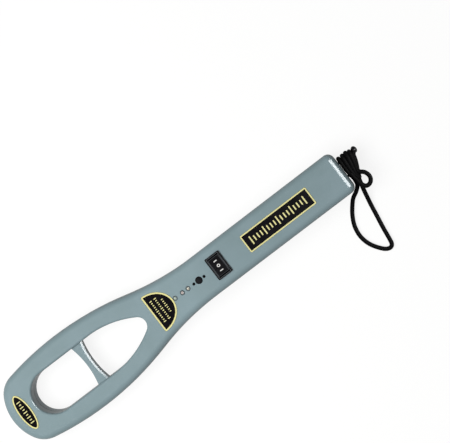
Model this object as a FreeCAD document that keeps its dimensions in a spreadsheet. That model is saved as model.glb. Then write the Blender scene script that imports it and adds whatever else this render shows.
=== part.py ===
import FreeCAD, Part
import math
import os
import re
import Sketcher
from types import SimpleNamespace
from FreeCAD import Rotation, Vector

# A hand-held metal detector wand, lying on its back.
# X runs from the nose of the search head to the end of the handle, Z is up through the printed face.
# A station is a distance along X from the nose. The origin is under the middle of the wand, on the floor.

SIZES = {
    # Casing, outline seen from above
    "neck_length": 72.2,
    "head_half_width": 42.1,
    "head_widest_station": 82.1,
    "nose_radius": 49,
    "shoulder_radius": 25.2,
    "flank_radius": 310,
    "handle_half_width": 21.9,
    "handle_length": 166,
    "handle_corner_radius": 7,
    # Casing, outline seen from the side
    "head_height": 26,
    "handle_height": 37,
    "rise_gap": 4.2,
    "rise_run": 75,
    # Casing shell
    "wall": 2.5,
    "casing_edge_radius": 6.5,
    "parting_height": 13,
    "groove_width": 0.6,
    "groove_depth": 0.6,
    "fit_gap": 0.1,
    "slide_gap": 0.3,
    "overrun": 20,
    # Window through the search head
    "window_start": 29.1,
    "window_length": 135.1,
    "rim_width": 20.2,
    "window_taper_radius": 96,
    "window_end_radius": 9.2,
    "window_edge_radius": 2.2,
    # Bridge across the window
    "bridge_setback": 66.2,
    "bridge_end_width": 12.4,
    "bridge_waist": 6.8,
    "bridge_top": 21,
    "bridge_depth": 10.5,
    "bridge_edge_radius": 0.9,
    "bridge_bevel_width": 1.7,
    "bridge_bevel_drop": 0.9,
    "tenon_reach": 3.4,
    "tenon_width": 6,
    "tenon_height": 4,
    # Screws and bosses that hold the covers together
    "boss_radius": 3.5,
    "screw_radius": 1.45,
    "screw_length": 14,
    "screw_head_radius": 2.6,
    "screw_head_height": 2,
    "screw_head_sink": 5,
    "recess_width": 0.8,
    "recess_length": 3.6,
    "recess_depth": 1.2,
    "thread_gap": 0.05,
    "pilot_depth": 8,
    "nose_screw_station": 10.5,
    "flank_screw_station": 66.4,
    "flank_screw_inset": 7,
    "neck_screw_gap": 6,
    "neck_screw_offset": 17,
    "grip_screw_inset": 66.5,
    "grip_screw_offset": 14.8,
    # Search coil, wound round the window
    "coil_offset": 4,
    "coil_width": 5,
    "coil_base": 7.5,
    "coil_height": 10,
    "saddle_length": 12,
    "front_saddle_setback": 16.6,
    "middle_saddle_pitch": 47,
    "back_saddle_inset": 27.6,
    # Labels
    "label_thickness": 0.3,
    "label_gap": 0.05,
    "oval_station": 16.5,
    "oval_length": 13.6,
    "oval_width": 39,
    "half_moon_window_gap": 10,
    "half_moon_lamp_gap": 2.5,
    "half_moon_width": 40.8,
    "half_moon_tip_radius": 1.8,
    "long_label_switch_gap": 23.8,
    "long_label_end_gap": 38.3,
    "long_label_width": 19,
    "long_label_corner": 1.5,
    # Rocker switch
    "switch_setback": 18.4,
    "bezel_length": 16,
    "bezel_width": 24,
    "bezel_height": 1.6,
    "bezel_corner": 1,
    "housing_length": 15,
    "housing_width": 22.6,
    "housing_depth": 11.5,
    "rocker_bay_length": 12.6,
    "rocker_bay_half_width": 10.6,
    "rocker_bay_depth": 9,
    "rocker_gap": 0.25,
    "rocker_end_radius": 10.3,
    "rocker_pivot_drop": 2.4,
    "rocker_tip_rise": 5.5,
    "rocker_dip_rise": 3.3,
    "rocker_belly": 2.5,
    "rocker_pin_radius": 1.1,
    "rocker_pin_reach": 0.9,
    "terminal_pitch": 6.35,
    "terminal_width": 4.8,
    "terminal_thickness": 0.8,
    "terminal_length": 6.5,
    # Indicator lamps in the neck
    "lamp_power_gap": 9.2,
    "lamp_alarm_gap": 7,
    "lamp_sounder_gap": 13.3,
    "lamp_radius": 1.5,
    "lamp_flange_radius": 1.9,
    "lamp_flange_height": 1,
    "lamp_length": 5.3,
    "lamp_stand_out": 0.7,
    "lamp_lead_radius": 0.25,
    "lamp_lead_spread": 1.27,
    # Sounder and its ports
    "sounder_switch_gap": 23.6,
    "sounder_radius": 8.5,
    "sounder_height": 8.2,
    "sounder_port_radius": 1.6,
    "sounder_port_depth": 2,
    "port_radius": 3.7,
    "side_port_radius": 1.5,
    "side_port_pitch": 6.1,
    "mesh_radius": 8,
    "mesh_thickness": 0.3,
    # Indicator board, hung under the top of the neck
    "indicator_board_front_margin": 9.8,
    "indicator_board_back_margin": 14.2,
    "indicator_board_half_width": 10.8,
    "indicator_board_top": 24,
    "board_thickness": 1.6,
    "board_corner": 1.5,
    "post_radius": 2.6,
    "board_screw_radius": 1,
    "board_screw_head_radius": 2,
    "board_screw_head_height": 1.3,
    "board_screw_length": 5,
    "front_post_inset": 3.8,
    "back_post_inset": 3.5,
    "indicator_post_offset": 7.6,
    # Main board, on posts of the rear cover
    "board_stagger": 1.5,
    "board_motor_gap": 6,
    "main_board_half_width": 12.8,
    "main_board_underside": 9,
    "main_post_inset": 4,
    "main_post_offset": 9.6,
    # Pieces on the main board
    "chip_length": 10,
    "chip_width": 6.4,
    "chip_height": 2.6,
    "chip_leg_pitch": 2.54,
    "chip_leg_width": 0.6,
    "chip_leg_reach": 1,
    "left_chip_inset": 25,
    "right_chip_inset": 43,
    "capacitor_radius": 2.5,
    "capacitor_height": 7,
    "capacitor_setback": 11,
    "capacitor_pitch": 6.5,
    "capacitor_offset": 6,
    "resistor_radius": 0.9,
    "resistor_length": 5,
    "resistor_pitch": 3.2,
    "inductor_radius": 4,
    "inductor_waist": 2.4,
    "inductor_height": 6,
    "inductor_flange": 1,
    "pin_pitch": 2.54,
    "pin_width": 0.64,
    "header_height": 2.5,
    # Sensitivity trimmer, reached through the rear cover
    "trimmer_inset": 17,
    "trimmer_body_side": 6.6,
    "trimmer_body_height": 4,
    "trimmer_screw_radius": 1.6,
    "trimmer_screw_height": 2,
    "trimmer_screw_sink": 1.4,
    "trimmer_hole_radius": 2,
    # Vibration motor
    "motor_battery_gap": 23.5,
    "motor_length": 16,
    "motor_radius": 4,
    "motor_axis_height": 8.6,
    "motor_shaft_radius": 0.6,
    "motor_shaft_length": 11,
    "motor_shaft_seat": 5,
    "running_gap": 0.04,
    "weight_radius": 3.8,
    "weight_thickness": 3.6,
    "weight_start_gap": 1.6,
    "weight_hub_radius": 1.4,
    "sleeve_length": 11,
    "sleeve_wall": 1.6,
    # Battery and its bay
    "battery_end_gap": 6,
    "battery_length": 48,
    "battery_width": 26.2,
    "battery_thickness": 17.2,
    "battery_underside": 5.2,
    "battery_corner": 1.6,
    "stud_pitch": 12.7,
    "stud_radius": 2.9,
    "stud_height": 2.8,
    "snap_thickness": 3.4,
    "snap_depth": 12,
    "snap_gap": 0.25,
    "snap_bore_radius": 3.4,
    "foam_thickness": 2.2,
    "foam_length": 30,
    "bay_rib_thickness": 1.6,
    "bay_rib_spacing": 12,
    # Battery door in the underside of the handle
    "door_length": 60.5,
    "door_half_width": 14,
    "door_end_half_width": 17,
    "door_end_depth": 5.5,
    "rail_height": 1.6,
    "rail_reach": 1.4,
    "rail_root": 2.6,
    "thumb_groove_width": 1.2,
    "thumb_groove_depth": 0.5,
    "thumb_groove_length": 16,
    "thumb_groove_pitch": 3,
    # Steel bow in the end wall, and the wrist strap on it
    "bow_wire_radius": 1.25,
    "bow_half_width": 7.5,
    "bow_height": 21,
    "bow_reach": 12,
    "bow_corner_radius": 3,
    "bow_tail": 2.2,
    "bow_plate_thickness": 1,
    "bow_plate_height": 5,
    "strap_diameter": 4.2,
    "knot_core_radius": 4.4,
    "knot_top": 10,
    "knot_length": 22,
    "knot_pitch": 4.3,
    "collar_radius": 6.3,
    "collar_length": 6,
    "collar_edge_radius": 1.4,
    "blob_radius": 3.4,
    # Leads inside the casing
    "thin_lead_diameter": 1.2,
    "battery_lead_diameter": 1.5,
    "coil_lead_inset": 3.6,
    "motor_lead_inset": 4.1,
    "motor_lead_rise": 2,
    "battery_lead_inset": 7.5,
    "battery_lead_rise": 3,
}

# Places that follow from the sizes, as formulas of the second sheet.
PLACES = {
    "window_end": "window_start + window_length",
    "window_half_width": "head_half_width - rim_width",
    "handle_start": "window_end + neck_length",
    "casing_length": "handle_start + handle_length",
    "tip_x": "-(casing_length + bow_reach) / 2",
    "rise_start": "window_end + rise_gap",
    "rise_end": "rise_start + rise_run",
    "bridge_station": "window_start + bridge_setback",
    "front_saddle_station": "window_start + front_saddle_setback",
    "middle_saddle_station": "front_saddle_station + middle_saddle_pitch",
    "back_saddle_station": "window_end - back_saddle_inset",
    "switch_station": "handle_start + switch_setback",
    "sounder_station": "switch_station - sounder_switch_gap",
    "lamp_battery_station": "sounder_station - lamp_sounder_gap",
    "lamp_alarm_station": "lamp_battery_station - lamp_alarm_gap",
    "lamp_power_station": "lamp_alarm_station - lamp_power_gap",
    "indicator_board_start": "lamp_power_station - indicator_board_front_margin",
    "indicator_board_end": "sounder_station + indicator_board_back_margin",
    "front_post_station": "indicator_board_start + front_post_inset",
    "back_post_station": "indicator_board_end - back_post_inset",
    "half_moon_station": "window_end + half_moon_window_gap",
    "half_moon_reach": "lamp_power_station - half_moon_lamp_gap - half_moon_station",
    "long_label_station": "switch_station + bezel_length / 2 + long_label_switch_gap",
    "long_label_length": "casing_length - long_label_end_gap - long_label_station",
    "door_start": "casing_length - door_length",
    "battery_start": "casing_length - battery_end_gap - battery_length",
    "motor_start": "battery_start - motor_battery_gap - motor_length",
    "main_board_start": "indicator_board_start + board_stagger",
    "main_board_end": "motor_start - board_motor_gap",
    "left_chip_station": "main_board_start + left_chip_inset",
    "right_chip_station": "main_board_start + right_chip_inset",
    "front_capacitor_station": "switch_station + capacitor_setback",
    "back_capacitor_station": "front_capacitor_station + capacitor_pitch",
    "trimmer_station": "main_board_end - trimmer_inset",
    "flank_screw_offset": "head_half_width - flank_screw_inset",
    "neck_screw_station": "main_board_start - neck_screw_gap",
    "grip_screw_station": "casing_length - grip_screw_inset",
    "coil_lead_landing": "main_board_start + coil_lead_inset",
    "motor_lead_landing": "main_board_end - motor_lead_inset",
    "battery_lead_landing": "main_board_end - battery_lead_inset",
    "main_board_top": "main_board_underside + board_thickness",
    "indicator_board_underside": "indicator_board_top - board_thickness",
    "pivot_height": "handle_height - rocker_pivot_drop",
    "housing_underside": "handle_height - housing_depth",
    "battery_middle": "battery_underside + battery_thickness / 2",
    "battery_top": "battery_underside + battery_thickness",
    "motor_end": "motor_start + motor_length",
    "weight_start": "motor_start + motor_length + weight_start_gap",
    "snap_start": "battery_start - snap_gap - snap_thickness",
    "bow_station": "casing_length + bow_reach - bow_wire_radius",
}

SCREW_STATIONS = (
    ("nose_screw_station", None),
    ("flank_screw_station", "flank_screw_offset"),
    ("neck_screw_station", "neck_screw_offset"),
    ("grip_screw_station", "grip_screw_offset"),
)

doc = FreeCAD.newDocument("detector_wand")


# Sheets and expressions

def cells(text):
    """Turns the plain names in a formula into references to the cells of the sheets."""

    def refer(found):
        name = found.group()
        if name in SIZES:
            return f"Sizes.{name}"
        if name in PLACES:
            return f"Places.{name}"
        return name

    return re.sub(r"[a-z]\w+", refer, text)


def fill_sheets():
    """Writes both sheets, and gives every named value back as a number."""
    sizes = doc.addObject("Spreadsheet::Sheet", "Sizes")
    places = doc.addObject("Spreadsheet::Sheet", "Places")
    for row, (name, value) in enumerate(SIZES.items(), start=1):
        sizes.set(f"A{row}", name)
        sizes.set(f"B{row}", str(value))
        sizes.setAlias(f"B{row}", name)
    doc.recompute()
    for row, (name, formula) in enumerate(PLACES.items(), start=1):
        places.set(f"A{row}", name)
        places.set(f"B{row}", "=" + cells(formula))
        places.setAlias(f"B{row}", name)
        doc.recompute()
    values = {name: float(sizes.get(name)) for name in SIZES}
    values.update({name: float(places.get(name)) for name in PLACES})
    return SimpleNamespace(**values)


size = fill_sheets()


def bind(item, **formulas):
    """Ties properties to formulas of the sheets. A double underscore in a name stands for a dot."""
    for name, formula in formulas.items():
        item.setExpression(name.replace("__", "."), cells(formula))
    return item


def place(item, x="0", y="0", z="0"):
    """Puts an object at a place given by formulas."""
    return bind(item, Placement__Base__x=x, Placement__Base__y=y, Placement__Base__z=z)


def turn(item, axis, angle):
    """Turns an object about its own origin, keeping its place."""
    item.Placement.Rotation = Rotation(axis, angle)
    return item


# Solids of the Part workbench

def box(name, x, y, z, length, width, height):
    """A box from its low corner."""
    item = bind(doc.addObject("Part::Box", name), Length=length, Width=width, Height=height)
    return place(item, x, y, z)


def centred_box(name, x, z, length, width, height, y="0"):
    """A box whose middle is at y and which starts at x and z."""
    return box(name, x, f"{y} - ({width}) / 2", z, length, width, height)


def cylinder(name, x, y, z, radius, height):
    """An upright cylinder from the middle of its lower face."""
    item = bind(doc.addObject("Part::Cylinder", name), Radius=radius, Height=height)
    return place(item, x, y, z)


def lying_cylinder(name, x, y, z, radius, length):
    """A cylinder along X from the middle of its first face."""
    item = bind(doc.addObject("Part::Cylinder", name), Radius=radius, Height=length)
    turn(item, Vector(0, 1, 0), 90)
    return place(item, x, y, z)


def crossing_cylinder(name, x, y, z, radius, length):
    """A cylinder along Y from the middle of its first face."""
    item = bind(doc.addObject("Part::Cylinder", name), Radius=radius, Height=length)
    turn(item, Vector(1, 0, 0), -90)
    return place(item, x, y, z)


def fused(name, items):
    """One solid, or a group of solids, from several."""
    item = doc.addObject("Part::MultiFuse", name)
    item.Shapes = items
    return item


def grouped(name, items):
    """Several solids that stay apart, in one object."""
    item = doc.addObject("Part::Compound", name)
    item.Links = items
    return item


def cut(name, base, tool):
    """The base without the tool."""
    item = doc.addObject("Part::Cut", name)
    item.Base = base
    item.Tool = tool
    return item


def common(name, base, tool):
    """What the base and the tool share."""
    item = doc.addObject("Part::Common", name)
    item.Base = base
    item.Tool = tool
    return item


def rounded(name, base, radius, wanted):
    """The base with a radius on the edges that the test picks."""
    doc.recompute()
    item = doc.addObject("Part::Fillet", name)
    item.Base = base
    item.Edges = [(number, radius, radius) for number, edge in enumerate(base.Shape.Edges, start=1) if wanted(edge)]
    return item


def shape(name, solid):
    """A solid that was worked out point by point."""
    item = doc.addObject("Part::Feature", name)
    item.Shape = solid
    return item


def extruded(name, sketch, length, symmetric=False):
    """A prism of a sketch along its normal."""
    item = doc.addObject("Part::Extrusion", name)
    item.Base = sketch
    item.DirMode = "Normal"
    item.Solid = True
    item.Symmetric = symmetric
    return bind(item, LengthFwd=length)


# Sketches

def line(start, end):
    """A straight piece of an outline."""
    return Part.LineSegment(Vector(start[0], start[1], 0), Vector(end[0], end[1], 0))


def arc(centre, radius, start, end):
    """A round piece of an outline, from one angle to the next."""
    circle = Part.Circle(Vector(centre[0], centre[1], 0), Vector(0, 0, 1), radius)
    return Part.ArcOfCircle(circle, min(start, end), max(start, end))


def draw(sketch, pieces):
    """Adds the pieces of a closed outline and joins the ends that meet."""
    first = sketch.GeometryCount
    sketch.addGeometry(pieces, False)
    ends = [(first + number, point, (piece.StartPoint, piece.EndPoint)[point - 1])
            for number, piece in enumerate(pieces) for point in (1, 2)]
    near = size.fit_gap / 100
    while ends:
        number, point, spot = ends.pop()
        partner = min(ends, key=lambda end: end[2].distanceToPoint(spot))
        if partner[2].distanceToPoint(spot) > near:
            raise ValueError(f"{sketch.Name} is open at {spot}")
        ends.remove(partner)
        sketch.addConstraint(Sketcher.Constraint("Coincident", number, point, partner[0], partner[1]))
    return first


def both_sides(pieces):
    """The pieces, and the same ones on the other side of the X axis."""
    other = []
    for piece in pieces:
        if isinstance(piece, Part.ArcOfCircle):
            centre = (piece.Center.x, -piece.Center.y)
            other.append(arc(centre, piece.Radius, -piece.LastParameter, -piece.FirstParameter))
        else:
            start, end = piece.StartPoint, piece.EndPoint
            other.append(line((start.x, -start.y), (end.x, -end.y)))
    return pieces + other


def outline_sketch(name, pieces, upright=False):
    """A free sketch, flat or standing on the XZ plane."""
    sketch = doc.addObject("Sketcher::SketchObject", name)
    if upright:
        turn(sketch, Vector(1, 0, 0), 90)
    draw(sketch, pieces)
    return sketch


def name_last(sketch, name, formula):
    """Names the last constraint of a sketch and ties it to a formula."""
    number = sketch.ConstraintCount - 1
    sketch.renameConstraint(number, name)
    sketch.setExpression(f"Constraints.{name}", cells(formula))


def rectangle(sketch, name, length, width, numbers):
    """A rectangle about the origin, with its length and width tied to formulas."""
    corners = [(right * numbers[0] / 2, up * numbers[1] / 2)
               for right, up in ((-1, -1), (1, -1), (1, 1), (-1, 1))]
    first = draw(sketch, [line(corners[number], corners[(number + 1) % 4]) for number in range(4)])
    for number, direction in enumerate(("Horizontal", "Vertical", "Horizontal", "Vertical")):
        sketch.addConstraint(Sketcher.Constraint(direction, first + number))
    sketch.addConstraint(Sketcher.Constraint("DistanceX", first, 1, first, 2, numbers[0]))
    name_last(sketch, f"{name}_length", length)
    sketch.addConstraint(Sketcher.Constraint("DistanceY", first + 1, 1, first + 1, 2, numbers[1]))
    name_last(sketch, f"{name}_width", width)
    sketch.addConstraint(Sketcher.Constraint("Symmetric", first, 1, first + 1, 2, -1, 1))


def circle(sketch, name, radius, number, middle=(0, 0), middle_formulas=("0", "0")):
    """A circle with its radius and middle tied to formulas."""
    geometry = Part.Circle(Vector(middle[0], middle[1], 0), Vector(0, 0, 1), number)
    first = sketch.addGeometry(geometry, False)
    sketch.addConstraint(Sketcher.Constraint("Radius", first, number))
    name_last(sketch, f"{name}_radius", radius)
    for axis, part, word in (("DistanceX", 0, "x"), ("DistanceY", 1, "y")):
        sketch.addConstraint(Sketcher.Constraint(axis, -1, 1, first, 3, middle[part]))
        name_last(sketch, f"{name}_{word}", middle_formulas[part])


# Bodies of the PartDesign workbench

def new_body(name, x="0", y="0", z="0"):
    """An empty body at a place of the wand."""
    return place(doc.addObject("PartDesign::Body", name), f"tip_x + {x}", y, z)


def body_sketch(body, name, plane="XY_Plane", height="0"):
    """A sketch on one of the body's own planes, lifted along the plane's normal."""
    sketch = body.newObject("Sketcher::SketchObject", name)
    support = next(item for item in body.Origin.OriginFeatures if item.Role == plane)
    sketch.AttachmentSupport = [(support, "")]
    sketch.MapMode = "FlatFace"
    return bind(sketch, AttachmentOffset__Base__z=height)


def pad(body, name, sketch, length, midplane=False):
    """Material along the normal of a sketch."""
    item = body.newObject("PartDesign::Pad", name)
    item.Profile = sketch
    item.Midplane = midplane
    return bind(item, Length=length)


def pocket(body, name, sketch, depth, reverse=True):
    """A cut along the normal of a sketch, upwards where it is reversed."""
    item = body.newObject("PartDesign::Pocket", name)
    item.Profile = sketch
    item.Reversed = reverse
    return bind(item, Length=depth)


def turned(body, name, sketch):
    """A solid of revolution about the vertical axis of its sketch."""
    item = body.newObject("PartDesign::Revolution", name)
    item.Profile = sketch
    item.ReferenceAxis = (sketch, ["V_Axis"])
    item.Angle = 360
    return item


def body_fillet(body, name, base, radius, wanted):
    """A radius on the edges of the last feature that the test picks."""
    doc.recompute()
    item = body.newObject("PartDesign::Fillet", name)
    picked = [f"Edge{number}" for number, edge in enumerate(base.Shape.Edges, start=1) if wanted(edge)]
    item.Base = (base, picked)
    return bind(item, Radius=radius)


def is_upright(edge):
    """Whether an edge stands straight up."""
    reach = edge.BoundBox
    return reach.ZLength > size.fit_gap and max(reach.XLength, reach.YLength) < size.fit_gap / 10


# Tubes along a route of straight runs joined by arcs

BEND_SHARE = 0.45


def tube(route, diameter, share=BEND_SHARE):
    """A tube along a route, with the radii of its bends and the length of its centre line."""
    points = [Vector(*point) for point in route]
    edges = []
    radii = []
    last = points[0]
    for before, corner, after in zip(points, points[1:], points[2:]):
        back = before - corner
        ahead = after - corner
        half_turn = (math.pi - back.getAngle(ahead)) / 2
        reach = share * min(back.Length, ahead.Length)
        radii.append(reach / math.tan(half_turn))
        start = corner + back.normalize() * reach
        end = corner + ahead.normalize() * reach
        towards = (back + ahead).normalize()
        middle = corner + towards * (radii[-1] / math.cos(half_turn) - radii[-1])
        edges.append(Part.LineSegment(last, start).toShape())
        edges.append(Part.Arc(start, middle, end).toShape())
        last = end
    edges.append(Part.LineSegment(last, points[-1]).toShape())
    spine = Part.Wire(edges)
    ring = Part.Wire(Part.makeCircle(diameter / 2, points[0], points[1] - points[0]))
    solid = spine.makePipeShell([ring], True, False)
    return solid, radii, spine.Length


parts = []


def finish(item, name, stations=True):
    """Labels a finished sub-part, and moves one that was drawn by stations to the wand's frame."""
    item.Label = name
    if stations:
        bind(item, Placement__Base__x="tip_x")
    parts.append(item)
    return item


# Outlines of the casing

def casing_outline(inset):
    """The casing seen from above: nose, shoulders, flanks, neck, handle and rounded end."""
    nose = (size.nose_radius, 0)
    flank = (size.head_widest_station, size.head_half_width - size.flank_radius)
    to_nose = size.nose_radius - size.shoulder_radius
    to_flank = size.flank_radius - size.shoulder_radius
    apart = math.dist(nose, flank)
    along = (to_nose ** 2 - to_flank ** 2 + apart ** 2) / (2 * apart)
    aside = math.sqrt(to_nose ** 2 - along ** 2)
    towards = ((flank[0] - nose[0]) / apart, (flank[1] - nose[1]) / apart)
    shoulder = (nose[0] + along * towards[0] + aside * towards[1],
                nose[1] + along * towards[1] - aside * towards[0])
    narrowing = size.head_half_width - size.handle_half_width
    run = size.handle_start - size.head_widest_station
    neck_radius = (run ** 2 + narrowing ** 2) / (2 * narrowing) - size.flank_radius
    neck = (size.handle_start, size.handle_half_width + neck_radius)
    nose_turn = math.atan2(shoulder[1] - nose[1], shoulder[0] - nose[0])
    flank_turn = math.atan2(shoulder[1] - flank[1], shoulder[0] - flank[0])
    neck_turn = math.atan2(neck[1] - flank[1], neck[0] - flank[0])
    corner_station = size.casing_length - size.handle_corner_radius
    corner_offset = size.handle_half_width - size.handle_corner_radius
    side = size.handle_half_width - inset
    end = size.casing_length - inset
    pieces = both_sides([
        arc(nose, size.nose_radius - inset, nose_turn, math.pi),
        arc(shoulder, size.shoulder_radius - inset, flank_turn, nose_turn),
        arc(flank, size.flank_radius - inset, neck_turn, flank_turn),
        arc(neck, neck_radius + inset, neck_turn - math.pi, -math.pi / 2),
        line((size.handle_start, side), (corner_station, side)),
        arc((corner_station, corner_offset), size.handle_corner_radius - inset, 0, math.pi / 2),
    ])
    return pieces + [line((end, corner_offset), (end, -corner_offset))]


def window_outline(offset):
    """The window seen from above, grown by an offset: round nose, straight sides, long taper, small end."""
    nose = (size.window_start + size.window_half_width, 0)
    end = (size.window_end - size.window_end_radius, 0)
    between = size.window_taper_radius - size.window_end_radius
    drop = size.window_taper_radius - size.window_half_width
    taper = (end[0] - math.sqrt(between ** 2 - drop ** 2), -drop)
    end_turn = math.atan2(drop, end[0] - taper[0])
    side = size.window_half_width + offset
    return both_sides([
        arc(nose, side, math.pi / 2, math.pi),
        line((nose[0], side), (taper[0], side)),
        arc(taper, size.window_taper_radius + offset, end_turn, math.pi / 2),
        arc(end, size.window_end_radius + offset, 0, end_turn),
    ])


def rise_radius():
    """The radius of the two equal arcs by which the top rises from the head to the handle."""
    rise = size.handle_height - size.head_height
    return (size.rise_run ** 2 + rise ** 2) / (4 * rise)


def side_outline(inset):
    """The casing seen from the side, running past its plan at both ends."""
    radius = rise_radius()
    turn_angle = math.asin(size.rise_run / 2 / radius)
    head_top = size.head_height - inset
    handle_top = size.handle_height - inset
    before = -size.overrun
    after = size.casing_length + size.overrun
    return [
        line((before, inset), (before, head_top)),
        line((before, head_top), (size.rise_start, head_top)),
        arc((size.rise_start, size.head_height + radius), radius + inset, -math.pi / 2, turn_angle - math.pi / 2),
        arc((size.rise_end, size.handle_height - radius), radius - inset, math.pi / 2, math.pi / 2 + turn_angle),
        line((size.rise_end, handle_top), (after, handle_top)),
        line((after, handle_top), (after, inset)),
        line((after, inset), (before, inset)),
    ]


def top_height(station):
    """The height of the printed face at a station."""
    radius = rise_radius()
    if station <= size.rise_start:
        return size.head_height
    if station >= size.rise_end:
        return size.handle_height
    if station <= (size.rise_start + size.rise_end) / 2:
        return size.head_height + radius - math.sqrt(radius ** 2 - (station - size.rise_start) ** 2)
    return size.handle_height - radius + math.sqrt(radius ** 2 - (size.rise_end - station) ** 2)


# Casing: an outer block less its cavity, split at the parting plane

def is_rim(edge):
    """Whether an edge of the block runs round its top or bottom face."""
    reach = edge.BoundBox
    across = reach.XLength < size.fit_gap / 10 and reach.YLength > size.handle_half_width
    return not is_upright(edge) and not (across and reach.XMax < size.casing_length - size.handle_corner_radius)


def is_window_rim(edge):
    """Whether an edge of the pierced block runs round the window at the top or the bottom."""
    middle = edge.valueAt((edge.FirstParameter + edge.LastParameter) / 2)
    beside = abs(middle.y) < size.window_half_width + size.fit_gap
    along = size.window_start - size.fit_gap < middle.x < size.window_end + size.fit_gap
    return beside and along and not is_upright(edge)


def casing_block(name, inset, edge_radius):
    """The casing's outer form, or its cavity at an inset, with rounded edges and the window cut through."""
    plan = extruded(f"{name}_plan", outline_sketch(f"{name}_plan_sketch", casing_outline(inset)),
                    "handle_height + overrun")
    side = extruded(f"{name}_side", outline_sketch(f"{name}_side_sketch", side_outline(inset), upright=True),
                    "4 * head_half_width", symmetric=True)
    block = rounded(f"{name}_rounded", common(f"{name}_square", plan, side), edge_radius, is_rim)
    window = extruded(f"{name}_window", outline_sketch(f"{name}_window_sketch", window_outline(inset)),
                      "handle_height + overrun")
    return cut(f"{name}_pierced", block, window)


outer = rounded("outer_form", casing_block("outer", 0, size.casing_edge_radius), size.window_edge_radius,
                is_window_rim)
cavity = casing_block("cavity", size.wall, size.casing_edge_radius - size.wall)
shell = cut("shell", outer, cavity)

groove_plan = extruded("groove_plan", outline_sketch("groove_plan_sketch", casing_outline(size.groove_depth)),
                       "handle_height + overrun")
groove_slab = centred_box("groove_slab", "-overrun", "parting_height - groove_width / 2",
                          "casing_length + 2 * overrun", "4 * head_half_width", "groove_width")
groove_window_sketch = outline_sketch("groove_window_sketch", window_outline(size.groove_depth))
place(groove_window_sketch, z="parting_height - groove_width / 2")
groove_window = extruded("groove_window", groove_window_sketch, "groove_width")
grooves = fused("grooves", [cut("groove_outside", groove_slab, groove_plan), groove_window])


def screw_places():
    """The station and offset formulas of every cover screw."""
    for station, offset in SCREW_STATIONS:
        if offset is None:
            yield station, "0"
        else:
            yield station, offset
            yield station, f"-{offset}"


def columns(name, places, z, radius, height):
    """Upright cylinders at several places, in one object."""
    items = [cylinder(f"{name}_{number}", x, y, z, radius, height) for number, (x, y) in enumerate(places)]
    return fused(name, items)


def mirrored_places(stations, offset):
    """Pairs of places at each station, one on each side."""
    return [(station, f"{sign}{offset}") for station in stations for sign in ("", "-")]


bridge_slot = centred_box("bridge_slot", "bridge_station - tenon_width / 2 - fit_gap",
                          "parting_height - tenon_height / 2 - fit_gap", "tenon_width + 2 * fit_gap",
                          "2 * (window_half_width + tenon_reach + fit_gap)", "tenon_height + 2 * fit_gap")
indicator_posts = mirrored_places(("front_post_station", "back_post_station"), "indicator_post_offset")
board_posts = mirrored_places(("(main_board_start + main_post_inset)", "(main_board_end - main_post_inset)"),
                              "main_post_offset")


def front_cover():
    """The printed half of the casing, with bosses, posts and the openings for switch, lamps and sound."""
    upper = centred_box("upper_half", "-overrun", "parting_height", "casing_length + 2 * overrun",
                        "4 * head_half_width", "handle_height + overrun")
    half = common("front_half", shell, upper)
    bosses = columns("front_boss", screw_places(), "parting_height", "boss_radius", "handle_height")
    posts = columns("front_post", indicator_posts, "indicator_board_top", "post_radius", "handle_height")
    ribs = [centred_box(f"bay_rib_{number}", f"battery_start + {number} * bay_rib_spacing",
                        "battery_top + foam_thickness", "bay_rib_thickness", "battery_width", "handle_height")
            for number in (1, 2, 3)]
    stiffening = common("front_stiffening", fused("front_columns", [bosses, posts] + ribs), cavity)
    holes = [
        grooves,
        bridge_slot,
        columns("front_pilot", screw_places(), "parting_height - overrun", "screw_radius + thread_gap",
                "overrun + pilot_depth"),
        columns("front_post_pilot", indicator_posts, "indicator_board_top", "board_screw_radius + thread_gap",
                "board_screw_length - board_thickness + fit_gap"),
        centred_box("switch_cutout", "switch_station - housing_length / 2 - fit_gap", "parting_height",
                    "housing_length + 2 * fit_gap", "housing_width + 2 * fit_gap", "handle_height"),
        columns("lamp_hole", [(station, "0") for station in LAMP_STATIONS], "indicator_board_top",
                "lamp_radius + fit_gap", "handle_height"),
        cylinder("sound_port", "sounder_station", "0", "indicator_board_top", "port_radius", "handle_height"),
        columns("side_port", [(f"sounder_station {sign} side_port_pitch", "0") for sign in "+-"],
                "indicator_board_top", "side_port_radius", "handle_height"),
    ]
    for sign in ("", "-"):
        holes.append(lying_cylinder("bow_hole", "casing_length - wall - overrun", f"{sign}bow_half_width",
                                    "bow_height", "bow_wire_radius + thread_gap", "2 * overrun"))
    solid = fused("front_solid", [half, stiffening])
    return finish(cut("front_cover", solid, fused("front_holes", holes)), "front_cover")


def door_boxes(name, gap, low, height):
    """The two boxes that part the battery door from the rear cover, grown by a gap."""
    return fused(name, [
        centred_box(f"{name}_floor", f"door_start - {gap}", low, f"casing_length + overrun - door_start + {gap}",
                    f"2 * (door_half_width + {gap})", height),
        centred_box(f"{name}_end", f"casing_length - door_end_depth - {gap}", low,
                    f"door_end_depth + overrun + {gap}", f"2 * (door_end_half_width + {gap})", height),
    ])


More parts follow.
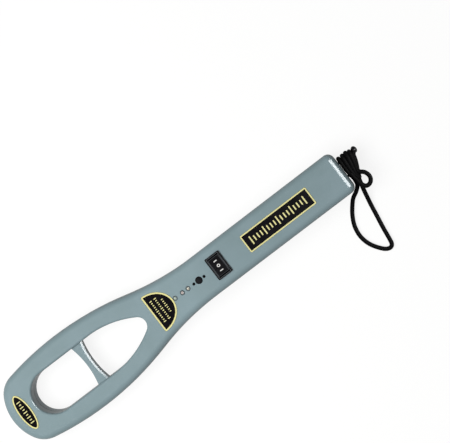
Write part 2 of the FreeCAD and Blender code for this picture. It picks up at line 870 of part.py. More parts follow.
def rear_cover():
    """The back half of the casing, with bosses, board posts, screw recesses and the battery opening."""
    lower = centred_box("lower_half", "-overrun", "-overrun", "casing_length + 2 * overrun",
                        "4 * head_half_width", "parting_height + overrun")
    half = common("rear_half", shell, lower)
    bosses = columns("rear_boss", screw_places(), "0", "boss_radius", "parting_height")
    posts = columns("rear_post", board_posts, "0", "post_radius", "main_board_underside")
    stiffening = common("rear_stiffening", fused("rear_columns", [bosses, posts]), cavity)
    holes = [
        grooves,
        bridge_slot,
        columns("screw_hole", screw_places(), "0", "screw_radius + fit_gap", "parting_height + overrun"),
        columns("screw_sink", screw_places(), "-overrun", "screw_head_radius + fit_gap",
                "overrun + screw_head_sink"),
        columns("rear_post_pilot", board_posts, "main_board_underside - board_screw_length",
                "board_screw_radius + thread_gap", "board_screw_length + overrun"),
        cylinder("trimmer_hole", "trimmer_station", "0", "-overrun", "trimmer_hole_radius", "2 * overrun"),
        door_boxes("door_opening", "2 * fit_gap", "-overrun", "parting_height + 2 * overrun"),
    ]
    solid = fused("rear_solid", [half, stiffening])
    return finish(cut("rear_cover", solid, fused("rear_holes", holes)), "rear_cover")


def battery_door():
    """The sliding door: a panel of the shell, its end wall and two rails that run above the floor."""
    panel = common("door_panel", shell, door_boxes("door_blank", "0", "-overrun",
                                                   "parting_height - slide_gap + overrun"))
    rail_length = "casing_length - door_end_depth - door_start"
    pieces = [panel]
    for name, inner in (("left", "door_half_width - rail_root"), ("right", "-door_half_width")):
        pieces.append(box(f"rail_root_{name}", "door_start", inner, "wall / 2", rail_length, "rail_root",
                          "wall / 2 + slide_gap + rail_height"))
    for name, inner in (("left", "door_half_width - rail_root"), ("right", "-door_half_width - rail_reach")):
        pieces.append(box(f"rail_wing_{name}", "door_start", inner, "wall + slide_gap", rail_length,
                          "rail_root + rail_reach", "rail_height"))
    grips = fused("thumb_grooves", [
        centred_box(f"thumb_groove_{number}", f"door_start + ({number} + 2) * thumb_groove_pitch", "-overrun",
                    "thumb_groove_width", "thumb_groove_length", "overrun + thumb_groove_depth")
        for number in (1, 2, 3, 4)])
    return finish(cut("battery_door", fused("door_solid", pieces), grips), "battery_door")


def cover_screws():
    """Sunk screws from the back, each with a cross recess in its head."""
    items = []
    for number, (x, y) in enumerate(screw_places()):
        head = cylinder(f"screw_head_{number}", x, y, "screw_head_sink - screw_head_height", "screw_head_radius",
                        "screw_head_height")
        shank = cylinder(f"screw_shank_{number}", x, y, "screw_head_sink", "screw_radius", "screw_length")
        slots = [
            centred_box(f"screw_slot_{number}", f"{x} - recess_length / 2", "screw_head_sink - screw_head_height",
                        "recess_length", "recess_width", "recess_depth", y),
            centred_box(f"screw_cross_{number}", f"{x} - recess_width / 2", "screw_head_sink - screw_head_height",
                        "recess_width", "recess_length", "recess_depth", y),
        ]
        items.append(cut(f"screw_{number}", fused(f"screw_blank_{number}", [head, shank]),
                         fused(f"screw_recess_{number}", slots)))
    return finish(grouped("cover_screws", items), "cover_screws")


def window_bridge():
    """The waisted bar across the window, held by a tenon at each end between the covers."""
    body = new_body("window_bridge", "bridge_station", "0", "bridge_top - bridge_depth")
    half_end = size.bridge_end_width / 2
    half_span = size.window_half_width
    sag = (size.bridge_end_width - size.bridge_waist) / 2
    radius = (half_span ** 2 + sag ** 2) / (2 * sag)
    swing = math.asin(half_span / radius)
    centre = size.bridge_waist / 2 + radius
    plan = body_sketch(body, "bridge_plan")
    draw(plan, [
        arc((centre, 0), radius, math.pi - swing, math.pi + swing),
        arc((-centre, 0), radius, -swing, swing),
        line((-half_end, half_span), (half_end, half_span)),
        line((-half_end, -half_span), (half_end, -half_span)),
    ])
    bar = pad(body, "bridge_bar", plan, "bridge_depth")
    def is_long(edge):
        return edge.BoundBox.YLength > half_span

    def is_bevelled(edge):
        return is_long(edge) and edge.BoundBox.XMin > 0 and edge.BoundBox.ZMin > size.bridge_depth / 2

    softened = body_fillet(body, "bridge_edges", bar, "bridge_edge_radius",
                           lambda edge: is_long(edge) and not is_bevelled(edge))
    doc.recompute()
    bevel = body.newObject("PartDesign::Chamfer", "bridge_bevel")
    bevel.Base = (softened, [f"Edge{number}" for number, edge in enumerate(softened.Shape.Edges, start=1)
                             if is_bevelled(edge)])
    bevel.ChamferType = "Two distances"
    bind(bevel, Size="bridge_bevel_width", Size2="bridge_bevel_drop")
    tenon = body_sketch(body, "tenon_plan", height="parting_height - tenon_height / 2 - bridge_top + bridge_depth")
    rectangle(tenon, "tenon", "tenon_width", "2 * (window_half_width + tenon_reach)",
              (size.tenon_width, 2 * (size.window_half_width + size.tenon_reach)))
    pad(body, "tenon_bar", tenon, "tenon_height")
    return finish(body, "window_bridge", stations=False)


# Labels: thin foils that follow the printed face

def face_block(name, gap):
    """A block under the printed face's line, raised by a gap."""
    sketch = outline_sketch(f"{name}_sketch", side_outline(-gap), upright=True)
    return extruded(name, sketch, "4 * head_half_width", symmetric=True)


foil_skin = cut("foil_skin", face_block("foil_outside", size.label_thickness), face_block("foil_inside", size.label_gap))


def label(name, sketch):
    """A foil cut to an outline drawn in a flat sketch."""
    place(sketch, z="parting_height")
    return finish(common(name, foil_skin, extruded(f"{name}_prism", sketch, "handle_height")), name)


def oval_outline():
    """The oval label near the nose."""
    middle = Vector(size.oval_station, 0, 0)
    across = middle + Vector(0, size.oval_width / 2, 0)
    along = middle + Vector(size.oval_length / 2, 0, 0)
    return [Part.Ellipse(across, along, middle)]


def half_moon_outline():
    """The half-moon label between the window and the lamps, its straight side towards the head."""
    half = size.half_moon_width / 2
    reach = size.half_moon_reach
    tip = size.half_moon_tip_radius
    start = size.half_moon_station
    middle = Vector(start, 0, 0)
    along = Vector(reach, 0, 0)
    across = Vector(0, half, 0)
    if reach > half:
        turn = math.acos(tip / reach)
        curve = Part.ArcOfEllipse(Part.Ellipse(middle + along, middle + across, middle), -turn, turn)
    else:
        turn = math.asin(tip / reach)
        curve = Part.ArcOfEllipse(Part.Ellipse(middle + across, middle - along, middle), turn - math.pi, -turn)
    shoulder = half * math.sqrt(1 - (tip / reach) ** 2)
    straight = shoulder - tip
    return [curve, line((start, -straight), (start, straight)),
            arc((start + tip, straight), tip, math.pi / 2, math.pi),
            arc((start + tip, -straight), tip, math.pi, 3 * math.pi / 2)]


def long_outline():
    """The long rounded label on the handle."""
    low = size.long_label_station
    high = low + size.long_label_length
    half = size.long_label_width / 2
    corner = size.long_label_corner
    pieces = [line((low + corner, half), (high - corner, half)),
              arc((low + corner, half - corner), corner, math.pi / 2, math.pi),
              arc((high - corner, half - corner), corner, 0, math.pi / 2)]
    return both_sides(pieces) + [line((low, corner - half), (low, half - corner)),
                                 line((high, corner - half), (high, half - corner))]


def labels():
    """The three black labels, left without words."""
    oval = doc.addObject("Sketcher::SketchObject", "oval_sketch")
    oval.addGeometry(oval_outline(), False)
    label("label_oval", oval)
    label("label_half_moon", outline_sketch("half_moon_sketch", half_moon_outline()))
    label("label_long", outline_sketch("long_label_sketch", long_outline()))


# Rocker switch

def switch_housing():
    """The switch body in the handle's top, with its bezel, bay and pivot holes."""
    body = new_body("switch_housing", "switch_station", "0", "handle_height")
    well = body_sketch(body, "housing_plan", height="-housing_depth")
    rectangle(well, "housing", "housing_length", "housing_width", (size.housing_length, size.housing_width))
    pad(body, "housing_block", well, "housing_depth")
    rim = body_sketch(body, "bezel_plan")
    rectangle(rim, "bezel", "bezel_length", "bezel_width", (size.bezel_length, size.bezel_width))
    bezel = pad(body, "bezel_plate", rim, "bezel_height")
    side = size.bezel_width / 2 - size.fit_gap
    body_fillet(body, "bezel_corners", bezel, "bezel_corner",
                lambda edge: is_upright(edge) and abs(edge.BoundBox.Center.y) > side)
    bay = body_sketch(body, "bay_plan", height="bezel_height")
    rectangle(bay, "bay", "rocker_bay_length", "2 * rocker_bay_half_width",
              (size.rocker_bay_length, 2 * size.rocker_bay_half_width))
    pocket(body, "rocker_bay", bay, "rocker_bay_depth", reverse=False)
    hole = body_sketch(body, "pivot_plan", plane="YZ_Plane")
    circle(hole, "pivot", "rocker_pin_radius + running_gap", size.rocker_pin_radius + size.running_gap,
           (0, -size.rocker_pivot_drop), ("0", "-rocker_pivot_drop"))
    pivot = pocket(body, "pivot_holes", hole, "rocker_bay_length + 2 * (rocker_pin_reach + fit_gap)", reverse=False)
    pivot.Midplane = True
    return finish(body, "switch_housing", stations=False)


def switch_rocker():
    """The rocking button: ends rounded about the pivot, a dished top and two pins."""
    body = new_body("switch_rocker", "switch_station", "0", "pivot_height")
    radius = size.rocker_end_radius
    top = math.asin(size.rocker_tip_rise / radius)
    bottom = math.asin(size.rocker_belly / radius)
    tip = (radius * math.cos(top), size.rocker_tip_rise)
    foot = (radius * math.cos(bottom), -size.rocker_belly)
    side = body_sketch(body, "rocker_side", plane="YZ_Plane")
    draw(side, [
        arc((0, 0), radius, -bottom, top),
        arc((0, 0), radius, math.pi - top, math.pi + bottom),
        line((0, size.rocker_dip_rise), tip),
        line((0, size.rocker_dip_rise), (-tip[0], tip[1])),
        line(foot, (-foot[0], foot[1])),
    ])
    pad(body, "rocker_block", side, "rocker_bay_length - 2 * rocker_gap", midplane=True)
    pin = body_sketch(body, "pin_side", plane="YZ_Plane")
    circle(pin, "pin", "rocker_pin_radius", size.rocker_pin_radius)
    pad(body, "rocker_pins", pin, "rocker_bay_length + 2 * rocker_pin_reach", midplane=True)
    return finish(body, "switch_rocker", stations=False)


def switch_terminals():
    """Three blade terminals under the switch body."""
    blades = [box(f"terminal_{number}", "switch_station - terminal_thickness / 2",
                  f"{number} * terminal_pitch - terminal_width / 2", "housing_underside - terminal_length",
                  "terminal_thickness", "terminal_width", "terminal_length") for number in (-1, 0, 1)]
    return finish(grouped("switch_terminals", blades), "switch_terminals")


# Lamps and sounder

LAMP_STATIONS = ("lamp_power_station", "lamp_alarm_station", "lamp_battery_station")


def lamp_foot(station):
    """The height of a lamp's underside, from the printed face above it."""
    return top_height(getattr(size, station)) + size.lamp_stand_out - size.lamp_length


def lamp(name, station):
    """A domed lamp with a flange at its foot."""
    body = new_body(name, station, "0", f"{lamp_foot(station)}")
    radius = size.lamp_radius
    flange = size.lamp_flange_radius
    profile = body_sketch(body, f"{name}_profile", plane="XZ_Plane")
    shoulder = size.lamp_length - radius
    draw(profile, [
        line((0, 0), (flange, 0)),
        line((flange, 0), (flange, size.lamp_flange_height)),
        line((flange, size.lamp_flange_height), (radius, size.lamp_flange_height)),
        line((radius, size.lamp_flange_height), (radius, shoulder)),
        arc((0, shoulder), radius, 0, math.pi / 2),
        line((0, size.lamp_length), (0, 0)),
    ])
    turned(body, f"{name}_lens", profile)
    return finish(body, name, stations=False)


def lamps():
    """The power, alarm and battery lamps, and their leads down to the indicator board."""
    for name, station in zip(("lamp_power", "lamp_alarm", "lamp_battery"), LAMP_STATIONS):
        lamp(name, station)
    wires = []
    for station in LAMP_STATIONS:
        for sign in ("", "-"):
            wires.append(cylinder(f"{station}_lead", station, f"{sign}lamp_lead_spread", "indicator_board_top",
                                  "lamp_lead_radius", f"{lamp_foot(station)} - indicator_board_top"))
    return finish(grouped("lamp_leads", wires), "lamp_leads")


def sounder():
    """The round sounder on the indicator board, with its port and a dust mesh."""
    base = cylinder("sounder_can", "sounder_station", "0", "indicator_board_top", "sounder_radius",
                    "sounder_height")
    port = cylinder("sounder_port", "sounder_station", "0",
                    "indicator_board_top + sounder_height - sounder_port_depth", "sounder_port_radius", "overrun")
    finish(cut("sounder", base, port), "sounder")
    mesh = cylinder("mesh_disc", "tip_x + sounder_station", "0", "indicator_board_top + sounder_height",
                    "mesh_radius", "mesh_thickness")
    return finish(mesh, "dust_mesh", stations=False)


# Boards and the pieces on them

def board(name, start, end, half_width, underside, posts, post_numbers):
    """A circuit board with rounded corners and a hole over each post."""
    length = f"{end} - {start}"
    body = new_body(name, f"({start} + {end}) / 2", "0", underside)
    numbers = (getattr(size, end) - getattr(size, start), 2 * getattr(size, half_width))
    plan = body_sketch(body, f"{name}_plan")
    rectangle(plan, "board", length, f"2 * {half_width}", numbers)
    middle = (getattr(size, start) + getattr(size, end)) / 2
    for number, ((x, y), (station, offset)) in enumerate(zip(posts, post_numbers)):
        circle(plan, f"hole_{number}", "board_screw_radius + fit_gap", size.board_screw_radius + size.fit_gap,
               (station - middle, offset), (f"{x} - ({start} + {end}) / 2", y))
    plate = pad(body, f"{name}_plate", plan, "board_thickness")
    side = getattr(size, half_width) - size.fit_gap
    body_fillet(body, f"{name}_corners", plate, "board_corner",
                lambda edge: is_upright(edge) and abs(edge.BoundBox.Center.y) > side)
    return finish(body, name, stations=False)


def boards():
    """The indicator board under the printed face and the main board on the rear cover's posts."""
    pairs = [(station, sign * size.indicator_post_offset)
             for station in (size.front_post_station, size.back_post_station) for sign in (1, -1)]
    board("indicator_board", "indicator_board_start", "indicator_board_end", "indicator_board_half_width",
          "indicator_board_underside", indicator_posts, pairs)
    stations = (size.main_board_start + size.main_post_inset, size.main_board_end - size.main_post_inset)
    pairs = [(station, sign * size.main_post_offset) for station in stations for sign in (1, -1)]
    board("main_board", "main_board_start", "main_board_end", "main_board_half_width",
          "main_board_underside", board_posts, pairs)


def board_screws(name, places, head_foot, shank_foot):
    """Small pan-head screws through a board into its posts."""
    items = []
    for number, (x, y) in enumerate(places):
        head = cylinder(f"{name}_head_{number}", x, y, head_foot, "board_screw_head_radius",
                        "board_screw_head_height")
        shank = cylinder(f"{name}_shank_{number}", x, y, shank_foot, "board_screw_radius", "board_screw_length")
        items.append(fused(f"{name}_{number}", [head, shank]))
    return finish(grouped(name, items), name)


def chips():
    """Two flat chips with a row of legs on each side."""
    bodies = []
    legs = []
    for number, (x, y) in enumerate((("left_chip_station", "-chip_width / 2"),
                                     ("right_chip_station", "chip_width / 2"))):
        bodies.append(centred_box(f"chip_{number}", x, "main_board_top", "chip_length", "chip_width",
                                  "chip_height", y))
        for leg in range(4):
            legs.append(centred_box(f"chip_leg_{number}_{leg}", f"{x} + chip_leg_width + {leg} * chip_leg_pitch",
                                    "main_board_top", "chip_leg_width", "chip_width + 2 * chip_leg_reach",
                                    "chip_leg_width", y))
    whole = fused("chip_bodies", bodies)
    finish(whole, "chips")
    return finish(cut("chip_legs", fused("leg_bars", legs), fused("chip_spaces", bodies)), "chip_legs")


def capacitors():
    """Upright can capacitors beside the switch."""
    items = [cylinder(f"capacitor_{number}", station, offset, "main_board_top", "capacitor_radius",
                      "capacitor_height")
             for number, (station, offset) in enumerate((("front_capacitor_station", "capacitor_offset"),
                                                         ("front_capacitor_station", "-capacitor_offset"),
                                                         ("back_capacitor_station", "capacitor_offset")))]
    return finish(grouped("capacitors", items), "capacitors")


def resistors():
    """A row of small resistors lying across the main board."""
    items = [crossing_cylinder(f"resistor_{number}", f"switch_station - (2 + {number}) * resistor_pitch",
                               "resistor_length / 2 - main_board_half_width",
                               "main_board_top + resistor_radius", "resistor_radius", "resistor_length")
             for number in range(6)]
    return finish(grouped("resistors", items), "resistors")


def inductor():
    """The tuning inductor: a waisted core standing on the main board."""
    body = new_body("tuning_inductor", "trimmer_station - 2 * inductor_radius", "-2 * inductor_radius + fit_gap",
                    "main_board_top")
    outer_radius = size.inductor_radius
    waist = size.inductor_waist
    flange = size.inductor_flange
    top = size.inductor_height
    profile = body_sketch(body, "inductor_profile", plane="XZ_Plane")
    corners = [(0, 0), (outer_radius, 0), (outer_radius, flange), (waist, flange), (waist, top - flange),
               (outer_radius, top - flange), (outer_radius, top), (0, top)]
    draw(profile, [line(start, end) for start, end in zip(corners, corners[1:] + corners[:1])])
    turned(body, "inductor_core", profile)
    return finish(body, "tuning_inductor", stations=False)


def board_link():
    """The row of pins that joins the two boards, in its header."""
    station = "indicator_board_start + 3 * pin_pitch + pin_width"
    pins = [centred_box(f"link_pin_{number}", station, "main_board_top", "pin_width", "pin_width",
                        "indicator_board_underside - main_board_top", f"({number} - 1.5) * pin_pitch")
            for number in range(4)]
    bar = centred_box("link_bar", f"{station} - (pin_pitch - pin_width) / 2", "main_board_top", "pin_pitch",
                      "4 * pin_pitch", "header_height")
    finish(cut("link_header", bar, fused("link_spaces", pins)), "link_header")
    return finish(grouped("link_pins", pins), "link_pins")


def trimmer():
    """The sensitivity trimmer under the main board and its slotted screw, facing the rear cover."""
    floor_height = "main_board_underside - trimmer_body_height"
    block = centred_box("trimmer_block", "trimmer_station - trimmer_body_side / 2", floor_height,
                        "trimmer_body_side", "trimmer_body_side", "trimmer_body_height")
    bore = cylinder("trimmer_bore", "trimmer_station", "0", f"{floor_height} - overrun",
                    "trimmer_screw_radius + running_gap", "overrun + trimmer_screw_sink + fit_gap")
    finish(cut("sensitivity_trimmer", block, bore), "sensitivity_trimmer")
    head_foot = f"{floor_height} + trimmer_screw_sink - trimmer_screw_height"
    screw = cylinder("trimmer_rotor", "trimmer_station", "0", head_foot, "trimmer_screw_radius",
                     "trimmer_screw_height")
    slot = centred_box("trimmer_slot", "trimmer_station - trimmer_screw_radius - fit_gap",
                       f"{head_foot} - fit_gap", "2 * (trimmer_screw_radius + fit_gap)", "recess_width / 2",
                       "recess_width / 2 + fit_gap")
    return finish(cut("trimmer_screw", screw, slot), "trimmer_screw")


# Vibration motor

def vibration_motor():
    """The motor in its rubber sleeve on the rear cover, with a shaft and an eccentric weight."""
    can = lying_cylinder("motor_can", "motor_start", "0", "motor_axis_height", "motor_radius", "motor_length")
    bore = lying_cylinder("motor_bore", "motor_end - motor_shaft_seat - fit_gap", "0", "motor_axis_height",
                          "motor_shaft_radius + running_gap", "motor_shaft_seat + overrun")
    finish(cut("vibration_motor", can, bore), "vibration_motor")
    sleeve = centred_box("sleeve_block", "motor_start + (motor_length - sleeve_length) / 2", "wall",
                         "sleeve_length", "2 * (motor_radius + sleeve_wall)",
                         "motor_axis_height + motor_radius + sleeve_wall - wall")
    grip = lying_cylinder("sleeve_bore", "motor_start - overrun", "0", "motor_axis_height",
                          "motor_radius + running_gap / 2", "motor_length + 2 * overrun")
    finish(cut("motor_sleeve", sleeve, grip), "motor_sleeve")
    shaft = lying_cylinder("shaft_rod", "tip_x + motor_end - motor_shaft_seat", "0", "motor_axis_height",
                           "motor_shaft_radius", "motor_shaft_length")
    finish(shaft, "motor_shaft", stations=False)
    disc = lying_cylinder("weight_disc", "weight_start", "0", "motor_axis_height", "weight_radius",
                          "weight_thickness")
    lower = centred_box("weight_side", "weight_start - overrun", "motor_axis_height - overrun", "2 * overrun",
                        "2 * overrun", "overrun")
    hub = lying_cylinder("weight_hub", "weight_start", "0", "motor_axis_height", "weight_hub_radius",
                         "weight_thickness")
    eye = lying_cylinder("weight_eye", "weight_start - overrun", "0", "motor_axis_height", "motor_shaft_radius",
                         "2 * overrun")
    solid = fused("weight_solid", [common("weight_half", disc, lower), hub])
    return finish(cut("eccentric_weight", solid, eye), "eccentric_weight")


# Battery and its snap

def battery():
    """The block battery, its two studs, the snap that clips on them and the foam that holds it down."""
    body = new_body("battery", "battery_start", "0", "battery_middle")
    face = body_sketch(body, "battery_face", plane="YZ_Plane")
    rectangle(face, "battery", "battery_width", "battery_thickness", (size.battery_width, size.battery_thickness))
    block = pad(body, "battery_block", face, "battery_length")
    body_fillet(body, "battery_corners", block, "battery_corner",
                lambda edge: edge.BoundBox.XLength > size.battery_length / 2)
    finish(body, "battery", stations=False)
    studs = [lying_cylinder(f"stud_{number}", "battery_start - stud_height", f"{sign} * stud_pitch / 2",
                            "battery_middle", "stud_radius", "stud_height")
             for number, sign in enumerate((1, -1))]
    finish(grouped("battery_studs", studs), "battery_studs")
    plate = centred_box("snap_plate", "snap_start", "battery_middle - snap_depth / 2", "snap_thickness",
                        "battery_width", "snap_depth")
    bores = [lying_cylinder(f"snap_bore_{number}", "battery_start - stud_height - fit_gap",
                            f"{sign} * stud_pitch / 2", "battery_middle", "snap_bore_radius", "overrun")
             for number, sign in enumerate((1, -1))]
    finish(cut("battery_snap", plate, fused("snap_bores", bores)), "battery_snap")
    foam = centred_box("foam_pad", "tip_x + battery_start + (battery_length - foam_length) / 2", "battery_top",
                       "foam_length", "battery_width - 2 * battery_corner", "foam_thickness")
    return finish(foam, "battery_foam", stations=False)


# Search coil

def search_coil():
    """The egg-shaped winding round the window, on pads that stand on the rear cover."""
    body = new_body("search_coil", "0", "0", "coil_base")
    plan = body_sketch(body, "coil_plan")
    draw(plan, window_outline(size.coil_offset + size.coil_width))
    draw(plan, window_outline(size.coil_offset))
    pad(body, "coil_ring", plan, "coil_height")
    finish(body, "search_coil", stations=False)
    ring_sketch = outline_sketch("saddle_sketch", window_outline(size.coil_offset + size.coil_width)
                                 + window_outline(size.coil_offset))
    place(ring_sketch, z="wall")
    ring = extruded("saddle_ring", ring_sketch, "coil_base - wall")
    blocks = [centred_box(f"{place_name}_saddle", f"{place_name}_saddle_station - saddle_length / 2", "0",
                          "saddle_length", "4 * head_half_width", "parting_height")
              for place_name in ("front", "middle", "back")]
    return finish(common("coil_pads", ring, fused("saddle_blocks", blocks)), "coil_pads")


# Steel bow in the end wall

def strap_bow():
    """The bent wire that the wrist strap is tied to, with the plate that keeps it in the end wall."""
    inner_end = size.casing_length - size.wall - size.bow_tail
    leg = size.bow_station - inner_end
    side = size.bow_half_width
    route = [(inner_end, side, size.bow_height), (size.bow_station, side, size.bow_height),
             (size.bow_station, -side, size.bow_height), (inner_end, -side, size.bow_height)]
    wire = tube(route, 2 * size.bow_wire_radius, size.bow_corner_radius / min(leg, 2 * side))[0]
    plate = centred_box("bow_plate", "casing_length - wall - bow_plate_thickness",
                        "bow_height - bow_plate_height / 2", "bow_plate_thickness",
                        "2 * bow_half_width + bow_plate_height", "bow_plate_height")
    solid = fused("bow_solid", [shape("bow_wire", wire), plate])
    finish(grouped("bow", [solid]), "strap_bow")
    return solid


# Wrist strap. The routes are chosen by hand and give X, Y and Z in the wand's frame.

STRAP_LOOP = (
    (208.1, -12.0, 18.85),
    (208.1, -18.5, 18.85),
    (205.3, -27.0, 15.2),
    (200.6, -35.5, 8.2),
    (197.4, -44.0, 2.6),
    (195.3, -54.5, 2.2),
    (193.0, -66.5, 2.25),
    (190.9, -78.5, 2.2),
    (188.6, -88.6, 2.25),
    (180.6, -87.6, 2.2),
    (174.8, -79.2, 2.25),
    (170.6, -68.5, 2.2),
    (169.2, -56.0, 2.25),
    (172.6, -44.0, 2.2),
    (180.3, -34.2, 2.9),
    (189.4, -28.6, 7.0),
    (198.0, -25.2, 13.2),
    (203.8, -18.5, 18.85),
    (203.8, -12.0, 18.85),
)
STRAP_EAR = (
    (208.1, -12.0, 23.15),
    (208.1, -16.6, 23.15),
    (212.3, -19.4, 24.4),
    (212.0, -24.2, 25.4),
    (207.7, -27.0, 25.8),
    (202.6, -25.8, 25.6),
    (200.4, -21.3, 24.6),
    (203.8, -16.6, 23.15),
    (203.8, -12.0, 23.15),
)


def check_cord(name, route, diameter):
    """Builds a cord, and prints its length, its radii and its volume beside section times length."""
    solid, radii, length = tube(route, diameter)
    expected = math.pi * diameter ** 2 / 4 * length
    print(f"{name}: length {length:.1f}, tightest radius {min(radii):.1f}, "
          f"volume {solid.Volume:.0f} against {expected:.0f}")
    print("  radii " + " ".join(f"{radius:.1f}" for radius in radii))
    return shape(name, solid)


def strap(bow):
    """The braided wrist strap: the knot on the bow, its sealed end, the wide loop and the small ear."""
    core = crossing_cylinder("knot_core", "bow_station", "knot_top - knot_length", "bow_height",
                             "knot_core_radius", "knot_length")
    wraps = []
    for number in range(4):
        wrap = doc.addObject("Part::Torus", f"knot_wrap_{number}")
        bind(wrap, Radius1="knot_core_radius", Radius2="strap_diameter / 2 - fit_gap")
        turn(wrap, Vector(1, 0, 0), 90)
        wraps.append(place(wrap, "bow_station", f"knot_top - ({number} + 0.5) * knot_pitch", "bow_height"))
    collar = rounded("knot_collar", crossing_cylinder("collar", "bow_station", "knot_top - knot_length", "bow_height",
                                                      "collar_radius", "collar_length"),
                     size.collar_edge_radius, lambda edge: isinstance(edge.Curve, Part.Circle))
    knot = fused("knot_solid", [core, collar] + wraps)
    finish(cut("knot_on_bow", knot, bow), "strap_knot")
    stub = lying_cylinder("strap_stub", "bow_station", "knot_top - knot_pitch / 2", "bow_height",
                          "strap_diameter / 2", "knot_core_radius + strap_diameter")
    blob = doc.addObject("Part::Sphere", "strap_blob")
    bind(blob, Radius="blob_radius")
    place(blob, "bow_station + knot_core_radius + strap_diameter", "knot_top - knot_pitch / 2", "bow_height")
    finish(cut("strap_end", fused("strap_end_solid", [stub, blob]), knot), "strap_end")
    for name, route in (("strap_loop", STRAP_LOOP), ("strap_ear", STRAP_EAR)):
        finish(check_cord(name, route, size.strap_diameter), name, stations=False)


# Leads inside the casing, from piece to piece

# Each point: share of the way from one piece to the next, step aside and rise, both in diameters.
COIL_LEAD_SHARES = ((0, 1, 0), (0.25, 1, 0), (0.5, 1.4, 0.8), (0.78, 1.5, 1.2), (1, 1.1, 0.7))
MOTOR_LEAD_SHARES = ((0, 1.4, 0), (0.22, 1.4, 0), (0.45, 1.4, 1.6), (0.75, 1.5, 2.4), (1, 1.6, 1.9))
BATTERY_LEAD_SHARES = ((0, 3, 0), (0.09, 3, 0), (0.26, 3.2, 0.57), (0.5, 3.5, 0.27), (0.78, 3.3, 0.57),
                       (0.97, 3.1, -0.33), (1, 3, -2.33))
# Each point: share of the drop from the terminal to the board and step along, in diameters.
SWITCH_LEAD_SHARES = ((0, 0), (0.26, 0), (0.5, 0.6), (0.74, 0), (1, 0))


def leads(name, routes, diameter):
    """Leads by the stations, offsets and heights of their routes."""
    wires = [shape(f"{name}_{number}", tube(route, diameter)[0]) for number, route in enumerate(routes)]
    return finish(grouped(name, wires), name)


def lead_pair(name, course, start, landing, height, diameter):
    """Two leads side by side that end square on the main board."""
    routes = []
    for side in (-1, 1):
        route = [(start + share * (landing - start), side * aside * diameter, height + rise * diameter)
                 for share, aside, rise in course]
        routes.append(route + [(landing, route[-1][1], size.main_board_top)])
    return leads(name, routes, diameter)


def all_leads():
    """The leads of the coil, the switch, the motor and the battery, each down to the main board."""
    thin = size.thin_lead_diameter
    thick = size.battery_lead_diameter
    lead_pair("coil_leads", COIL_LEAD_SHARES, size.window_end + size.coil_offset + size.coil_width,
              size.coil_lead_landing, size.coil_base + size.coil_height / 2, thin)
    lead_pair("motor_leads", MOTOR_LEAD_SHARES, size.motor_start, size.motor_lead_landing,
              size.motor_axis_height + size.motor_lead_rise, thin)
    lead_pair("battery_leads", BATTERY_LEAD_SHARES, size.snap_start, size.battery_lead_landing,
              size.battery_middle + size.battery_lead_rise, thick)
    top = size.housing_underside - size.terminal_length
    routes = [[(size.switch_station + step * thin, number * size.terminal_pitch,
                top - share * (top - size.main_board_top)) for share, step in SWITCH_LEAD_SHARES]
              for number in (-1, 0, 1)]
    return leads("switch_leads", routes, thin)


# The wand, piece by piece

front_cover()
rear_cover()
battery_door()
window_bridge()
cover_screws()
labels()
switch_housing()
switch_rocker()
switch_terminals()
lamps()
sounder()
boards()
board_screws("indicator_board_screws", indicator_posts,
             "indicator_board_underside - board_screw_head_height", "indicator_board_underside")
board_screws("main_board_screws", board_posts, "main_board_top", "main_board_top - board_screw_length")
chips()
capacitors()
resistors()
inductor()
board_link()
trimmer()
vibration_motor()
battery()
search_coil()
strap(strap_bow())
all_leads()

doc.recompute()

failed = [item.Name for item in doc.Objects if "Invalid" in item.State or "Error" in item.State]
if failed:
    raise RuntimeError("failed: " + ", ".join(failed))
for part in parts:
    solid = part.Shape
    if solid.isNull() or not solid.isValid() or not solid.Solids:
        raise RuntimeError(f"{part.Label} is not a sound solid")

os.makedirs("parts", exist_ok=True)
for part in parts:
    part.Shape.exportStep(f"parts/{part.Label}.step")
    print(f"{part.Label}: {len(part.Shape.Solids)} solids, {part.Shape.Volume:.0f} cubic millimetres")
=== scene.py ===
"""A hand-held metal detector wand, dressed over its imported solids.

The wand lies on its back. X runs from the nose of the search head to the end of the handle,
Z is up through the printed face, and the origin is under its middle on the floor.
Sizes in the classes are in millimetres, and cord routes are in metres.
"""

from __future__ import annotations

import logging
import math
from dataclasses import dataclass, field, replace
from enum import Enum
from typing import Iterable, Mapping, Sequence

import bmesh
import bpy
from mathutils import Matrix, Vector, noise
from mathutils.bvhtree import BVHTree

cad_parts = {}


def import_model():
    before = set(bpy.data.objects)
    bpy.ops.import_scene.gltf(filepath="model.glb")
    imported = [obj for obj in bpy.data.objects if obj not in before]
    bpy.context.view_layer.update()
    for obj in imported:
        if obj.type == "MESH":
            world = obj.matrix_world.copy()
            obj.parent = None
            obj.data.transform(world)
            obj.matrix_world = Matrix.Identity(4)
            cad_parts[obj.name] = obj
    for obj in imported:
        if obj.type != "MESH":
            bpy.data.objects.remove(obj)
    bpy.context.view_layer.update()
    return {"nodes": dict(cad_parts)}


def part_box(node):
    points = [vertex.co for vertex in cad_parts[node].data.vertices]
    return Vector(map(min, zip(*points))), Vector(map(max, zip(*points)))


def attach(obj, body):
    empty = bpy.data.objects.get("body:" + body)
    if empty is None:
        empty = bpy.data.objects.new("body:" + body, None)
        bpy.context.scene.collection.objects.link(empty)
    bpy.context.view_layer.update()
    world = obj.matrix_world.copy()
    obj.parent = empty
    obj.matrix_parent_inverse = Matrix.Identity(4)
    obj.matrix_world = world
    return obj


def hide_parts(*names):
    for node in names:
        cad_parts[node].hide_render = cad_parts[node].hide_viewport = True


Point = tuple[float, float, float]
Limits = tuple[float, float]
log = logging.getLogger("wand")

# A millimetre, in the scene's metres.
MM = 0.001
# Where nearly all of a noise lies, and the ends of a share.
NOISE_LIMITS: Limits = (0.3, 0.7)
SHARE_LIMITS: Limits = (0.0, 1.0)


